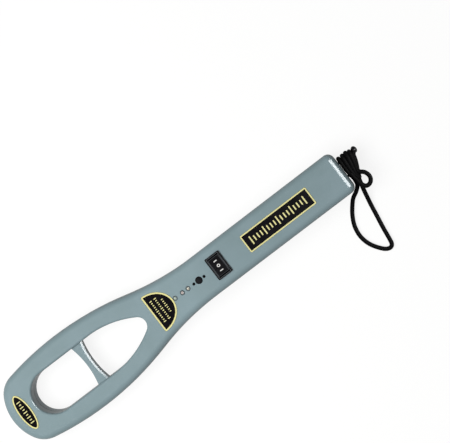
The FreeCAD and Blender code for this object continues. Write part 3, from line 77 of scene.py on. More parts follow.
class Axis(Enum):
    """The three directions of the wand's frame, as the places in a vector."""

    ALONG = 0
    ACROSS = 1
    UP = 2


class Body(Enum):
    """The moving bodies that pieces of this scene ride on."""

    CASING = "casing"
    ROCKER = "rocker"


def linear(code: str) -> tuple[float, float, float, float]:
    """Turns an sRGB hex colour to linear light, by that standard's own curve.

    Args:
        code: six hex digits.

    Returns:
        Red, green, blue and full cover.
    """
    shares = [int(code[start:start + 2], 16) / 255 for start in (0, 2, 4)]
    light = [((share + 0.055) / 1.055) ** 2.4 if share > 0.04045 else share / 12.92 for share in shares]
    return (*light, 1.0)


def add_node(
    tree: bpy.types.NodeTree,
    kind: str,
    values: Mapping[str | int, object] | None = None,
    links: Mapping[str | int, bpy.types.NodeSocket] | None = None,
    **settings: object,
) -> bpy.types.Node:
    """Adds a node with its settings and links.

    Args:
        tree: the node tree.
        kind: the node's type name.
        values: numbers, colours or vectors by input name or place.
        links: sockets to join by input name or place.
        settings: the node's own settings.

    Returns:
        The new node.
    """
    node = tree.nodes.new(kind)
    for name, value in settings.items():
        setattr(node, name, value)
    for key, value in (values or {}).items():
        node.inputs[key].default_value = value
    for key, socket in (links or {}).items():
        tree.links.new(socket, node.inputs[key])
    return node


# Finishes

@dataclass(frozen=True)
class Coat:
    """A material in the making, with the steps that the finishes share. Its place is in millimetres."""

    tree: bpy.types.NodeTree
    shader: bpy.types.Node
    place: bpy.types.NodeSocket

    def even(self, values: Mapping[str, object]) -> None:
        """Sets what is the same all over the surface, by the shader's own input names."""
        for name, value in values.items():
            self.shader.inputs[name].default_value = value

    def speckle(self, size: float, detail: float, stretch: Point = (1, 1, 1)) -> bpy.types.NodeSocket:
        """Adds noise of a real size.

        Args:
            size: the width of a speck in millimetres.
            detail: how many finer layers lie on it.
            stretch: scale by axis, below one where specks are drawn out.

        Returns:
            The noise's strength, mostly within NOISE_LIMITS.
        """
        turned = add_node(self.tree, "ShaderNodeMapping", {"Scale": stretch}, {"Vector": self.place})
        specks = add_node(self.tree, "ShaderNodeTexNoise", {"Scale": 1 / size, "Detail": detail},
                          {"Vector": turned.outputs[0]})
        return specks.outputs["Fac"]

    def layer(self, colour: str, source: bpy.types.NodeSocket, limits: Limits = NOISE_LIMITS,
              cover: float = 1.0) -> None:
        """Lays a colour over the one that the surface has so far.

        Args:
            colour: its hex code.
            source: what says where it lies.
            limits: the source's values where it is bare and where it is thickest.
            cover: how much of it shows where it is thickest.
        """
        share = add_node(self.tree, "ShaderNodeMapRange", {1: limits[0], 2: limits[1], 3: 0, 4: cover},
                         {0: source})
        base = self.shader.inputs["Base Color"]
        values: dict[str | int, object] = {7: linear(colour)}
        links = {0: share.outputs[0]}
        if base.is_linked:
            links[6] = base.links[0].from_socket
        else:
            values[6] = tuple(base.default_value)
        mixed = add_node(self.tree, "ShaderNodeMix", values, links, data_type="RGBA")
        self.tree.links.new(mixed.outputs[2], base)

    def gloss(self, source: bpy.types.NodeSocket, roughness: Limits, limits: Limits = NOISE_LIMITS) -> None:
        """Varies the gloss over the surface.

        Args:
            source: what says where it is glossy and where dull.
            roughness: how rough it is where glossy and where dull.
            limits: the source's values there.
        """
        values = {1: limits[0], 2: limits[1], 3: roughness[0], 4: roughness[1]}
        rough = add_node(self.tree, "ShaderNodeMapRange", values, {0: source})
        self.tree.links.new(rough.outputs[0], self.shader.inputs["Roughness"])

    def relief(self, height: bpy.types.NodeSocket, depth: float) -> None:
        """Raises the surface.

        Args:
            height: what says where it is high.
            depth: the height's full range in millimetres.
        """
        values = {"Strength": 1.0, "Distance": depth * MM}
        bump = add_node(self.tree, "ShaderNodeBump", values, {"Height": height})
        self.tree.links.new(bump.outputs[0], self.shader.inputs["Normal"])


@dataclass(frozen=True)
class Finish:
    """A named finish that makes its material once and hands it out again."""

    name: str
    colour: str

    def paint(self, coat: Coat) -> None:
        """Builds the finish up on a coat that has only its main colour."""
        raise NotImplementedError

    def material(self) -> bpy.types.Material:
        """Makes the material, or finds the one made before.

        Returns:
            The material of this finish.
        """
        found = bpy.data.materials.get(self.name)
        if found:
            return found
        made = bpy.data.materials.new(self.name)
        made.use_nodes = True
        tree = made.node_tree
        point = add_node(tree, "ShaderNodeTexCoord")
        place = add_node(tree, "ShaderNodeVectorMath", {3: 1 / MM}, {0: point.outputs["Object"]},
                         operation="SCALE")
        coat = Coat(tree, tree.nodes["Principled BSDF"], place.outputs[0])
        coat.even({"Base Color": linear(self.colour)})
        self.paint(coat)
        return made


@dataclass(frozen=True)
class MouldedPlastic(Finish):
    """Injection-moulded plastic, with an eroded mould grain, a soft mottle and a sheen from use.

    It gives the eye an even colour that breaks up a little, and broad soft highlights. Where
    two halves meet, a seam may have gathered dirt.
    """

    shade: str
    roughness: Limits = (0.16, 0.28)
    specular: float = 0.5
    # The real grain is about 0.15 mm. It is drawn coarser, so that it shows at this distance.
    grain: float = 1.3
    grain_depth: float = 0.006
    mottle: float = 34.0
    polish: float = 9.0
    polish_stretch: Point = (0.35, 1, 1)
    polish_limits: Limits = (0.15, 0.85)
    seam_height: float | None = None
    seam_colour: str = "4C5A60"
    seam_cover: float = 0.75
    # How far from the seam the dirt ends, and how near it is thickest.
    seam_limits: Limits = (0.9, 0.3)

    def paint(self, coat: Coat) -> None:
        """Mixes two near colours, dirties the seam, varies the gloss and raises the mould grain.

        Args:
            coat: the material in the making.
        """
        coat.layer(self.shade, coat.speckle(self.mottle, 4.0))
        if self.seam_height is not None:
            parts = add_node(coat.tree, "ShaderNodeSeparateXYZ", None, {0: coat.place})
            above = add_node(coat.tree, "ShaderNodeMath", {1: self.seam_height},
                             {0: parts.outputs[Axis.UP.value]}, operation="SUBTRACT")
            apart = add_node(coat.tree, "ShaderNodeMath", None, {0: above.outputs[0]}, operation="ABSOLUTE")
            coat.layer(self.seam_colour, apart.outputs[0], self.seam_limits, self.seam_cover)
        # Polishing marks from use are drawn out along the wand.
        coat.gloss(coat.speckle(self.polish, 2.0, self.polish_stretch), self.roughness, self.polish_limits)
        coat.even({"IOR": 1.53, "Specular IOR Level": self.specular})
        coat.relief(coat.speckle(self.grain, 2.0), self.grain_depth)


@dataclass(frozen=True)
class PrintedFoil(Finish):
    """Polycarbonate label foil, printed black from behind. Its fine matt grain keeps highlights dim."""

    shade: str
    roughness: Limits = (0.34, 0.5)
    rub: float = 6.0
    rub_stretch: Point = (1, 0.4, 1)
    rub_limits: Limits = (0.45, 0.8)
    grain: float = 0.9
    grain_depth: float = 0.006

    def paint(self, coat: Coat) -> None:
        """Gives near-black with faint rub marks and a fine matt grain.

        Args:
            coat: the material in the making.
        """
        rubbed = coat.speckle(self.rub, 6.0, self.rub_stretch)
        coat.layer(self.shade, rubbed, self.rub_limits)
        coat.gloss(rubbed, self.roughness)
        coat.even({"IOR": 1.58, "Specular IOR Level": 0.05})
        coat.relief(coat.speckle(self.grain, 1.0), self.grain_depth)


@dataclass(frozen=True)
class ScreenInk(Finish):
    """Screen-printed ink. It is flat and slightly uneven where the mesh of the screen left it thin."""

    shade: str
    roughness: Limits = (0.39, 0.51)
    dot: float = 1.2
    depth: float = 0.006

    def paint(self, coat: Coat) -> None:
        """Mixes two near colours and lifts the ink by its screen dots.

        Args:
            coat: the material in the making.
        """
        thin = coat.speckle(self.dot, 3.0)
        coat.layer(self.shade, thin)
        coat.gloss(thin, self.roughness)
        coat.relief(thin, self.depth)


@dataclass(frozen=True)
class EpoxyLens(Finish):
    """Cast epoxy lens of a lamp. It is cloudy-clear with a faint tint, and takes small sharp highlights."""

    shade: str
    roughness: Limits = (0.06, 0.14)
    cloud: float = 0.9

    def paint(self, coat: Coat) -> None:
        """Lets some light through, with a cloudier colour where the casting flowed.

        Args:
            coat: the material in the making.
        """
        cloud = coat.speckle(self.cloud, 3.0)
        coat.layer(self.shade, cloud)
        coat.gloss(cloud, self.roughness)
        coat.even({"IOR": 1.54, "Transmission Weight": 0.25})


@dataclass(frozen=True)
class Metal(Finish):
    """Drawn, plated or turned metal, with fine lines along one direction and duller patches."""

    shade: str
    roughness: Limits
    line: float = 0.35
    line_stretch: Point = (0.08, 1, 1)
    line_depth: float = 0.01
    patch: float = 3.5

    def paint(self, coat: Coat) -> None:
        """Sets a full metal with drawn lines and patches of dull plating.

        Args:
            coat: the material in the making.
        """
        patch = coat.speckle(self.patch, 5.0)
        coat.layer(self.shade, patch)
        coat.gloss(patch, self.roughness)
        coat.even({"Metallic": 1.0})
        coat.relief(coat.speckle(self.line, 2.0, self.line_stretch), self.line_depth)


@dataclass(frozen=True)
class CircuitBoard(Finish):
    """Glass-epoxy board under green solder mask. Its copper tracks show as lighter raised lines."""

    track: str
    roughness: Limits = (0.25, 0.35)
    pitch: float = 2.54
    holes_to_a_track: int = 4
    track_width: float = 0.22
    track_depth: float = 0.035
    weave: float = 0.4
    weave_cover: float = 0.4

    def paint(self, coat: Coat) -> None:
        """Lays tracks on the usual hole pitch under a glossy mask, with the glass weave below.

        Args:
            coat: the material in the making.
        """
        black, white = (0, 0, 0, 1), (1, 1, 1, 1)
        tracks = add_node(coat.tree, "ShaderNodeTexBrick", {
            "Color1": black, "Color2": black, "Mortar": white, "Scale": 1.0, "Mortar Size": self.track_width,
            "Mortar Smooth": 0.1, "Brick Width": self.holes_to_a_track * self.pitch, "Row Height": self.pitch,
        }, {"Vector": coat.place}).outputs["Color"]
        weave = coat.speckle(self.weave, 1.0)
        coat.layer(self.track, weave, cover=self.weave_cover)
        coat.layer(self.track, tracks, SHARE_LIMITS)
        coat.gloss(weave, self.roughness)
        coat.relief(tracks, self.track_depth)


@dataclass(frozen=True)
class Banded(Finish):
    """A lacquered, sleeved or taped body with bands round it at an even pitch."""

    band: str
    roughness: Limits
    pitch: float
    cover: float
    axis: Axis = Axis.ALONG
    wander: float = 0.0
    depth: float = 0.03
    edge: float = 0.15
    drift: float = 6.0
    fleck: float = 0.7

    def paint(self, coat: Coat) -> None:
        """Draws the bands as steps of one coordinate, which wanders a little in hand-laid tape.

        Args:
            coat: the material in the making.
        """
        parts = add_node(coat.tree, "ShaderNodeSeparateXYZ", None, {0: coat.place})
        drift = add_node(coat.tree, "ShaderNodeMapRange", {
            1: NOISE_LIMITS[0], 2: NOISE_LIMITS[1], 3: -self.wander, 4: self.wander,
        }, {0: coat.speckle(self.drift, 2.0)})
        moved = add_node(coat.tree, "ShaderNodeMath", None,
                         {0: parts.outputs[self.axis.value], 1: drift.outputs[0]}, operation="ADD")
        turn = add_node(coat.tree, "ShaderNodeMath", {1: self.pitch}, {0: moved.outputs[0]},
                        operation="PINGPONG")
        width = self.pitch * self.cover
        bands = add_node(coat.tree, "ShaderNodeMapRange", {1: width, 2: width + self.edge, 3: 1, 4: 0},
                         {0: turn.outputs[0]}).outputs[0]
        coat.layer(self.band, bands, SHARE_LIMITS)
        coat.gloss(coat.speckle(self.fleck, 3.0), self.roughness)
        coat.relief(bands, self.depth)


@dataclass(frozen=True)
class WovenCloth(Finish):
    """Open woven cloth. Its threads are lighter than the holes between them, which are painted near-black as
    painted shade.
    """

    thread: str
    # The real pitch is about 0.3 mm. It is drawn coarser, so that it shows at this distance.
    pitch: float = 0.7
    hole: float = -0.2
    depth: float = 0.12

    def paint(self, coat: Coat) -> None:
        """Crosses two sets of threads.

        Args:
            coat: the material in the making.
        """
        parts = add_node(coat.tree, "ShaderNodeSeparateXYZ", None, {0: coat.place})
        waves = []
        for axis in (Axis.ALONG, Axis.ACROSS):
            turn = add_node(coat.tree, "ShaderNodeMath", {1: math.tau / self.pitch},
                            {0: parts.outputs[axis.value]}, operation="MULTIPLY")
            wave = add_node(coat.tree, "ShaderNodeMath", None, {0: turn.outputs[0]}, operation="COSINE")
            waves.append(wave.outputs[0])
        top = add_node(coat.tree, "ShaderNodeMath", None, {0: waves[0], 1: waves[1]}, operation="MAXIMUM")
        threads = add_node(coat.tree, "ShaderNodeMapRange", {1: self.hole, 2: 1, 3: 0, 4: 1},
                           {0: top.outputs[0]}).outputs[0]
        # Painted shade: the holes keep the near-black colour and the threads take the lighter one.
        coat.layer(self.thread, threads, SHARE_LIMITS)
        coat.even({"Roughness": 0.85})
        coat.relief(threads, self.depth)


@dataclass(frozen=True)
class Cellular(Finish):
    """Foam or rubber with cells. The cells break up its light, and it has no clear highlight. Its pits are painted
    darker as painted shade.
    """

    pit_shade: str
    cell: float = 0.8
    depth: float = 0.2
    roughness: float = 0.9
    pit_shade_limits: Limits = (0.6, 0.1)

    def paint(self, coat: Coat) -> None:
        """Sinks rounded cells of one size into the surface, and paints shade into them.

        Args:
            coat: the material in the making.
        """
        cells = add_node(coat.tree, "ShaderNodeTexVoronoi", {"Scale": 1 / self.cell}, {"Vector": coat.place})
        # Painted shade: the pits take the darker colour.
        coat.layer(self.pit_shade, cells.outputs["Distance"], self.pit_shade_limits)
        coat.even({"Roughness": self.roughness})
        coat.relief(cells.outputs["Distance"], self.depth)


@dataclass(frozen=True)
class BraidedYarn(Finish):
    """Braided polyester. Each strand is a bundle of fibres, and its crown is painted lighter along its length as a
    painted sheen.

    It reads the cord's own map: millimetres along in U, and shares of a turn in V.
    """

    thread: str
    roughness: Limits = (0.5, 0.75)
    fibre: float = 0.22
    fibres_round: int = 60
    fibre_depth: float = 0.06
    # The share of the painted sheen that is left in the valleys, where the rest is painted shade.
    valley_shade: float = 0.15

    def paint(self, coat: Coat) -> None:
        """Draws fibres along the strands, paints a sheen on their crowns and paints shade into the valleys between
        them.

        Args:
            coat: the material in the making.
        """
        height = add_node(coat.tree, "ShaderNodeAttribute", attribute_name="strand_height").outputs["Fac"]
        laid = add_node(coat.tree, "ShaderNodeUVMap", uv_map="braid").outputs[0]
        fuzz = add_node(coat.tree, "ShaderNodeMapping", {"Scale": (1 / self.fibre, self.fibres_round, 1)},
                        {"Vector": laid})
        fibres = add_node(coat.tree, "ShaderNodeTexNoise", {"Scale": 1.0, "Detail": 2.0},
                          {"Vector": fuzz.outputs[0]}).outputs["Fac"]
        # Painted shade and sheen: the valleys keep the dark colour and the crowns take the lighter thread colour.
        crown = add_node(coat.tree, "ShaderNodeMapRange", {1: 0, 2: 1, 3: self.valley_shade, 4: 1}, {0: height})
        painted_sheen = add_node(coat.tree, "ShaderNodeMath", None, {0: crown.outputs[0], 1: fibres},
                       operation="MULTIPLY")
        coat.layer(self.thread, painted_sheen.outputs[0], SHARE_LIMITS)
        coat.gloss(fibres, self.roughness)
        coat.even({"Specular IOR Level": 0.06})
        coat.relief(fibres, self.fibre_depth)


@dataclass(frozen=True)
class StudioPaper(Finish):
    """Matt background paper. It keeps a soft shadow, and looks near white itself and pale grey in gloss."""

    shade: str
    tooth: float = 2.0
    lift: float = 0.86
    mirrored_lift: float = 0.42

    def paint(self, coat: Coat) -> None:
        """Sets a faint paper tooth, and a small glow that only direct and mirrored views see.

        Args:
            coat: the material in the making.
        """
        coat.layer(self.shade, coat.speckle(self.tooth, 2.0))
        coat.even({"Roughness": 0.95, "Specular IOR Level": 0.1, "Emission Color": (1, 1, 1, 1)})
        seen = add_node(coat.tree, "ShaderNodeLightPath").outputs
        through = add_node(coat.tree, "ShaderNodeMath", None,
                           {0: seen["Is Camera Ray"], 1: seen["Is Transmission Ray"]}, operation="MAXIMUM")
        direct = add_node(coat.tree, "ShaderNodeMath", {1: self.lift}, {0: through.outputs[0]},
                          operation="MULTIPLY")
        mirrored = add_node(coat.tree, "ShaderNodeMath", {1: self.mirrored_lift}, {0: seen["Is Glossy Ray"]},
                            operation="MULTIPLY")
        glow = add_node(coat.tree, "ShaderNodeMath", None, {0: direct.outputs[0], 1: mirrored.outputs[0]},
                        operation="ADD")
        coat.tree.links.new(glow.outputs[0], coat.shader.inputs["Emission Strength"])


CASING_ABS = MouldedPlastic("Moulded_ABS_grey_blue", "8DA2A8", "869B9F", seam_height=13.0)
BRIDGE_ABS = MouldedPlastic("Moulded_ABS_bridge", "8B9FA5", "85999D", roughness=(0.17, 0.23), grain=3.0)
SWITCH_FRAME = MouldedPlastic("Nylon_black_frame", "0E0E10", "141416", roughness=(0.24, 0.36), specular=0.25,
                              grain=0.5, grain_depth=0.01, mottle=8.0)
SWITCH_BUTTON = MouldedPlastic("Nylon_black_button", "111113", "17171A", roughness=(0.23, 0.33), specular=0.25,
                               grain=0.5, mottle=8.0)
BLACK_PLASTIC = MouldedPlastic("Black_polyester_moulding", "141416", "1C1C1E", roughness=(0.37, 0.53),
                               specular=0.3, grain=0.5, grain_depth=0.015, mottle=6.0)
TRIMMER_BODY = MouldedPlastic("Blue_polyester_moulding", "2C5FB0", "2652A0", roughness=(0.28, 0.4), grain=0.4,
                              grain_depth=0.01, mottle=4.0)
# The cord's end was melted with a flame, so it is lumpy and glossy in patches.
SEALED_YARN = MouldedPlastic("Melted_polyester_end", "0C0C0D", "151517", roughness=(0.22, 0.46), specular=0.25,
                             grain=0.8, grain_depth=0.12, mottle=2.0)
# The leads' extruded sheaths are smooth, with slow changes of gloss.
RED_LEAD = MouldedPlastic("PVC_red", "A52A28", "962522", roughness=(0.34, 0.46), grain=0.6, grain_depth=0.01,
                          mottle=5.0)
BLACK_LEAD = replace(RED_LEAD, name="PVC_black", colour="1B1B1C", shade="242425")
LABEL_FOIL = PrintedFoil("Polycarbonate_foil_black", "100E12", "17151A")
LABEL_INK = ScreenInk("Screen_ink_pale_yellow", "F3ECA4", "E9E29A")
# A dark grey laid round the lamps as painted shadow, in the gap round each lens.
LAMP_SHADOW_INK = ScreenInk("Painted_lamp_gap_shadow", "3A4245", "424A4D")
SWITCH_INK = ScreenInk("Pad_printed_white", "F4F4F0", "E4E4E0")
# The switch's lips get a painted highlight: a flat, uneven grey ink that stands in for the light along their edges.
LIP_HIGHLIGHT_INK = ScreenInk("Nylon_painted_edge_highlight", "4C5054", "424649")
GREEN_LENS = EpoxyLens("Epoxy_lens_green", "E9F4E9", "CFE2D2")
RED_LENS = EpoxyLens("Epoxy_lens_red", "F4E9E4", "E2CFC8")
YELLOW_LENS = EpoxyLens("Epoxy_lens_yellow", "F5F1E2", "E4DCC4")
TINNED = Metal("Tinned_steel", "CFCFCC", "B4B5B4", (0.2, 0.4))
ZINC = Metal("Zinc_plated_steel", "BFC3C6", "9DA2A6", (0.26, 0.46), line=0.4, line_stretch=(1, 1, 0.2))
BLACK_STEEL = Metal("Blackened_steel_wire", "2A2A2C", "1C1C1E", (0.34, 0.54))
BRASS = Metal("Plain_brass", "D3AE66", "B58E48", (0.22, 0.42))
WEIGHT_BRASS = Metal("Turned_brass_weight", "CBA45C", "A98243", (0.28, 0.48), line=0.3,
                     line_stretch=(1, 0.1, 1))
BOARD = CircuitBoard("Glass_epoxy_green_mask", "1F5A38", "3B8A58")
RESISTOR = Banded("Lacquered_resistor", "C8A676", "70381F", (0.29, 0.43), pitch=1.25, cover=0.3)
CAPACITOR = Banded("Shrunk_sleeve_blue", "26344F", "8E98A8", (0.22, 0.36), pitch=9.0, cover=0.12,
                   axis=Axis.ACROSS)
FERRITE = Banded("Ferrite_with_winding", "3A3A3D", "9A5A30", (0.44, 0.58), pitch=0.55, cover=0.55,
                 axis=Axis.UP, wander=0.05, depth=0.08)
COIL_TAPE = Banded("Taped_copper_winding", "A86B3C", "C9B58A", (0.44, 0.58), pitch=7.0, cover=0.3, wander=1.2,
                   depth=0.12)
BATTERY_JACKET = Banded("Printed_steel_jacket", "26272B", "8B8D92", (0.27, 0.41), pitch=24.0, cover=0.16,
                        depth=0.0)
RUBBER = Cellular("Soft_black_rubber", "1E1E1F", "161617", cell=0.5, depth=0.03, roughness=0.75)
FOAM = Cellular("Open_cell_foam", "6A6A6E", "333336")
DUST_CLOTH = WovenCloth("Acoustic_cloth_black", "08080A", "1E1E22")
YARN = BraidedYarn("Braided_polyester_black", "040405", "111113")
PAPER = StudioPaper("Matt_background_paper", "727271", "6F6F6E")

NODE_FINISHES: dict[str, Finish] = {
    "front_cover": CASING_ABS, "rear_cover": CASING_ABS, "battery_door": CASING_ABS, "window_bridge": BRIDGE_ABS,
    "cover_screws": ZINC, "label_oval": LABEL_FOIL, "label_half_moon": LABEL_FOIL, "label_long": LABEL_FOIL,
    "switch_housing": SWITCH_FRAME, "switch_rocker": SWITCH_BUTTON, "switch_terminals": BRASS,
    "lamp_power": GREEN_LENS, "lamp_alarm": RED_LENS, "lamp_battery": YELLOW_LENS, "lamp_leads": TINNED,
    "sounder": BLACK_PLASTIC, "dust_mesh": DUST_CLOTH, "indicator_board": BOARD, "main_board": BOARD,
    "indicator_board_screws": ZINC, "main_board_screws": ZINC, "chips": BLACK_PLASTIC, "chip_legs": TINNED,
    "capacitors": CAPACITOR, "resistors": RESISTOR, "tuning_inductor": FERRITE, "link_header": BLACK_PLASTIC,
    "link_pins": TINNED, "sensitivity_trimmer": TRIMMER_BODY, "trimmer_screw": BRASS, "vibration_motor": ZINC,
    "motor_sleeve": RUBBER, "motor_shaft": ZINC, "eccentric_weight": WEIGHT_BRASS, "battery": BATTERY_JACKET,
    "battery_studs": TINNED, "battery_snap": BLACK_PLASTIC, "battery_foam": FOAM, "search_coil": COIL_TAPE,
    "coil_pads": FOAM, "strap_bow": BLACK_STEEL, "coil_leads": BLACK_LEAD, "switch_leads": RED_LEAD,
    "motor_leads": BLACK_LEAD, "battery_leads": RED_LEAD,
}


# Shared making steps

def place_piece(piece: bpy.types.Object, body: Body, nodes: Iterable[str] = ()) -> bpy.types.Object:
    """Declares what a finished piece rides on and the solids it stands for.

    Args:
        piece: the finished object.
        body: the body that it moves with.
        nodes: the solids that it replaces.

    Returns:
        The same object.
    """
    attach(piece, body.value)
    if nodes:
        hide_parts(*nodes)
    log.info("%s: %d faces, rides %s", piece.name, len(piece.data.polygons), body.value)
    return piece


def as_object(name: str, form: bmesh.types.BMesh, finish: Finish, smooth: bool = True) -> bpy.types.Object:
    """Turns a finished form to an object in the scene.

    Args:
        name: the piece's name.
        form: its mesh, in metres, freed here.
        finish: what it is made of.
        smooth: whether its faces shade as one surface.

    Returns:
        The new object.
    """
    bmesh.ops.recalc_face_normals(form, faces=form.faces)
    for face in form.faces:
        face.smooth = smooth
    mesh = bpy.data.meshes.new(name)
    form.to_mesh(mesh)
    form.free()
    mesh.materials.append(finish.material())
    piece = bpy.data.objects.new(name, mesh)
    bpy.context.scene.collection.objects.link(piece)
    return piece


@dataclass
class Print:
    """Flat ink shapes that are laid on a surface: they are drawn in plan and dropped onto it."""

    name: str
    surface: str
    body: Body
    slot: str
    ink: Finish
    thickness: float = 0.03
    # Ink is cut across at this pitch, so that it follows a curved surface.
    step: float = 0.7
    # It is also cut on the middle line and this far beside it, where the rocker's two faces meet.
    fold: float = 0.01
    # It starts this far above its surface, so that the two never share a plane.
    clearance: float = 0.004
    ring_sides: int = 32
    form: bmesh.types.BMesh = field(default_factory=bmesh.new)

    def bar(self, middle: tuple[float, float], length: float, width: float) -> None:
        """Adds a plain bar.

        Args:
            middle: its place along and across.
            length: its size along the wand.
            width: its size across the wand.
        """
        made = bmesh.ops.create_grid(self.form, x_segments=1, y_segments=1, size=0.5)
        bmesh.ops.scale(self.form, vec=(length, width, 1), verts=made["verts"])
        bmesh.ops.translate(self.form, vec=(*middle, 0), verts=made["verts"])

    def ring(self, middle: tuple[float, float], length: float, width: float, line: float) -> None:
        """Adds an oval ring.

        Args:
            middle: its place along and across.
            length: its outer size along the wand.
            width: its outer size across the wand.
            line: the width of its line.
        """
        made = bmesh.ops.create_circle(self.form, cap_ends=True, segments=self.ring_sides, radius=0.5)
        bmesh.ops.scale(self.form, vec=(length, width, 1), verts=made["verts"])
        bmesh.ops.translate(self.form, vec=(*middle, 0), verts=made["verts"])
        self.open_up(list({face for vert in made["verts"] for face in vert.link_faces}), line)

    def border(self, margin: float, line: float, weld: float = 0.01, facing: float = 0.5) -> None:
        """Adds a border that follows the surface's own outline.

        Args:
            margin: how far inside the outline it starts.
            line: the width of its line.
            weld: points of the surface nearer than this are one.
            facing: how far up a face of the surface looks to count as its top, where 1 is straight up.
        """
        self.form.from_mesh(bpy.data.objects[self.surface].data)
        bmesh.ops.remove_doubles(self.form, verts=self.form.verts, dist=weld * MM)
        below = [face for face in self.form.faces if face.normal.z < facing]
        bmesh.ops.delete(self.form, geom=below, context="FACES")
        bmesh.ops.scale(self.form, vec=(1 / MM, 1 / MM, 0), verts=self.form.verts)
        whole = bmesh.ops.dissolve_faces(self.form, faces=self.form.faces[:], use_verts=False)["region"]
        bmesh.ops.inset_individual(self.form, faces=whole, thickness=margin, use_even_offset=True)
        rim = [face for face in self.form.faces if face not in whole]
        bmesh.ops.delete(self.form, geom=rim, context="FACES")
        self.open_up(whole, line)

    def open_up(self, faces: Sequence[bmesh.types.BMFace], line: float) -> None:
        """Leaves only a line of a given width inside the faces' rim."""
        bmesh.ops.inset_individual(self.form, faces=list(faces), thickness=line, use_even_offset=True)
        bmesh.ops.delete(self.form, geom=list(faces), context="FACES")

    def cut(self, place: Point, direction: Point) -> None:
        """Cuts all the ink with the plane through a place that is square to a direction."""
        everything = self.form.verts[:] + self.form.edges[:] + self.form.faces[:]
        bmesh.ops.bisect_plane(self.form, geom=everything, plane_co=place, plane_no=direction)

    def drop(self) -> None:
        """Drops each point of the ink, by now in metres, onto the surface below it."""
        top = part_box(self.surface)[1].z
        carrier = bmesh.new()
        carrier.from_mesh(bpy.data.objects[self.surface].data)
        tree = BVHTree.FromBMesh(carrier)
        for vert in self.form.verts:
            found = tree.ray_cast(Vector((vert.co.x, vert.co.y, top + 10 * MM)), Vector((0, 0, -1)))[0]
            vert.co.z = (found.z if found else top) + self.clearance * MM
        carrier.free()

    def lay(self) -> bpy.types.Object:
        """Cuts the ink finely, drops it onto its surface, thickens it and makes the piece.

        Returns:
            The finished piece.
        """
        low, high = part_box(self.surface)
        bmesh.ops.triangulate(self.form, faces=self.form.faces)
        for number in range(1, int((high.x - low.x) / MM / self.step)):
            self.cut((low.x / MM + number * self.step, 0, 0), (1, 0, 0))
        for across in (-self.fold, 0, self.fold):
            self.cut((0, across, 0), (0, 1, 0))
        bmesh.ops.scale(self.form, vec=(MM, MM, MM), verts=self.form.verts)
        self.drop()
        raised = bmesh.ops.extrude_face_region(self.form, geom=self.form.faces[:])
        lifted = [item for item in raised["geom"] if isinstance(item, bmesh.types.BMVert)]
        bmesh.ops.translate(self.form, vec=(0, 0, self.thickness * MM), verts=lifted)
        return place_piece(as_object(self.name, self.form, self.ink, smooth=False), self.body)


# Printed labels

@dataclass(frozen=True)
class TickRow:
    """A row of plain ticks. Every so many of them, counted from the middle one, is longer than the rest."""

    each_side: int
    pitch: float
    long: float
    short: float
    stroke: float
    every: int
    axis: Axis = Axis.ACROSS

    def lay_on(self, ink: Print, middle: tuple[float, float]) -> None:
        """Draws the row.

        Args:
            ink: the print that it belongs to.
            middle: the place of its middle tick, along and across.
        """
        for number in range(-self.each_side, self.each_side + 1):
            offset = self.pitch * number
            length = self.long if number % self.every == 0 else self.short
            if self.axis is Axis.ACROSS:
                ink.bar((middle[0], middle[1] + offset), length, self.stroke)
            else:
                ink.bar((middle[0] + offset, middle[1]), self.stroke, length)


@dataclass
class Labels:
    """The pale borders and plain ticks of the three black labels."""

    margin: float = 0.15
    line: float = 1.3
    half_moon_line: float = 1.5
    oval_row: TickRow = TickRow(each_side=4, pitch=2.9, long=4.2, short=2.4, stroke=0.9, every=2)
    half_moon_row: TickRow = TickRow(each_side=5, pitch=2.3, long=2.6, short=1.7, stroke=0.9, every=5)
    long_row: TickRow = TickRow(each_side=8, pitch=3.9, long=8.6, short=5.2, stroke=1.3, every=4,
                                axis=Axis.ALONG)
    # Each row of the half-moon label: its distance from the straight side, and its ticks on each half.
    half_moon_rows: tuple[tuple[float, int], ...] = ((5.8, 5), (11.0, 5), (16.2, 3))

    def start(self, name: str, line: float) -> tuple[Print, Vector, Vector]:
        """Starts the print of one label with its border.

        Args:
            name: the label's node.
            line: the width of the border.

        Returns:
            The print, and the label's lowest and highest corner in millimetres.
        """
        low, high = (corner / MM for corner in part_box(name))
        ink = Print(name.replace("label", "print"), name, Body.CASING, "label_foil", LABEL_INK)
        ink.border(self.margin, line)
        return ink, low, high

    def one_row(self, name: str, row: TickRow) -> None:
        """Prints a label with one row of ticks through its middle.

        Args:
            name: the label's node.
            row: its ticks.
        """
        ink, low, high = self.start(name, self.line)
        row.lay_on(ink, ((low.x + high.x) / 2, (low.y + high.y) / 2))
        ink.lay()

    def half_moon(self) -> None:
        """Prints the half-moon label, whose rows of short ticks follow its straight side."""
        ink, low, _ = self.start("label_half_moon", self.half_moon_line)
        for distance, each_side in self.half_moon_rows:
            replace(self.half_moon_row, each_side=each_side).lay_on(ink, (low.x + distance, 0))
        ink.lay()

    def build(self) -> None:
        """Lays all three prints, from the nose to the handle."""
        self.one_row("label_oval", self.oval_row)
        self.half_moon()
        self.one_row("label_long", self.long_row)


# Marks on the face and the switch

@dataclass
class LampShadowRings:
    """A thin dark ring of painted shadow round each of the three lamps, standing in for the shade in the gap round
    each lens.
    """

    outer: float = 5.0
    line: float = 0.7
    step: float = 0.5
    lamps: tuple[str, ...] = ("lamp_power", "lamp_alarm", "lamp_battery")

    def build(self) -> None:
        """Lays the painted shadow rings on the face."""
        ink = Print("print_lamp_rims", "front_cover", Body.CASING, "label_foil", LAMP_SHADOW_INK, step=self.step)
        for name in self.lamps:
            low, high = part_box(name)
            middle = ((low.x + high.x) / 2 / MM, (low.y + high.y) / 2 / MM)
            ink.ring(middle, self.outer, self.outer, self.line)
        ink.lay()


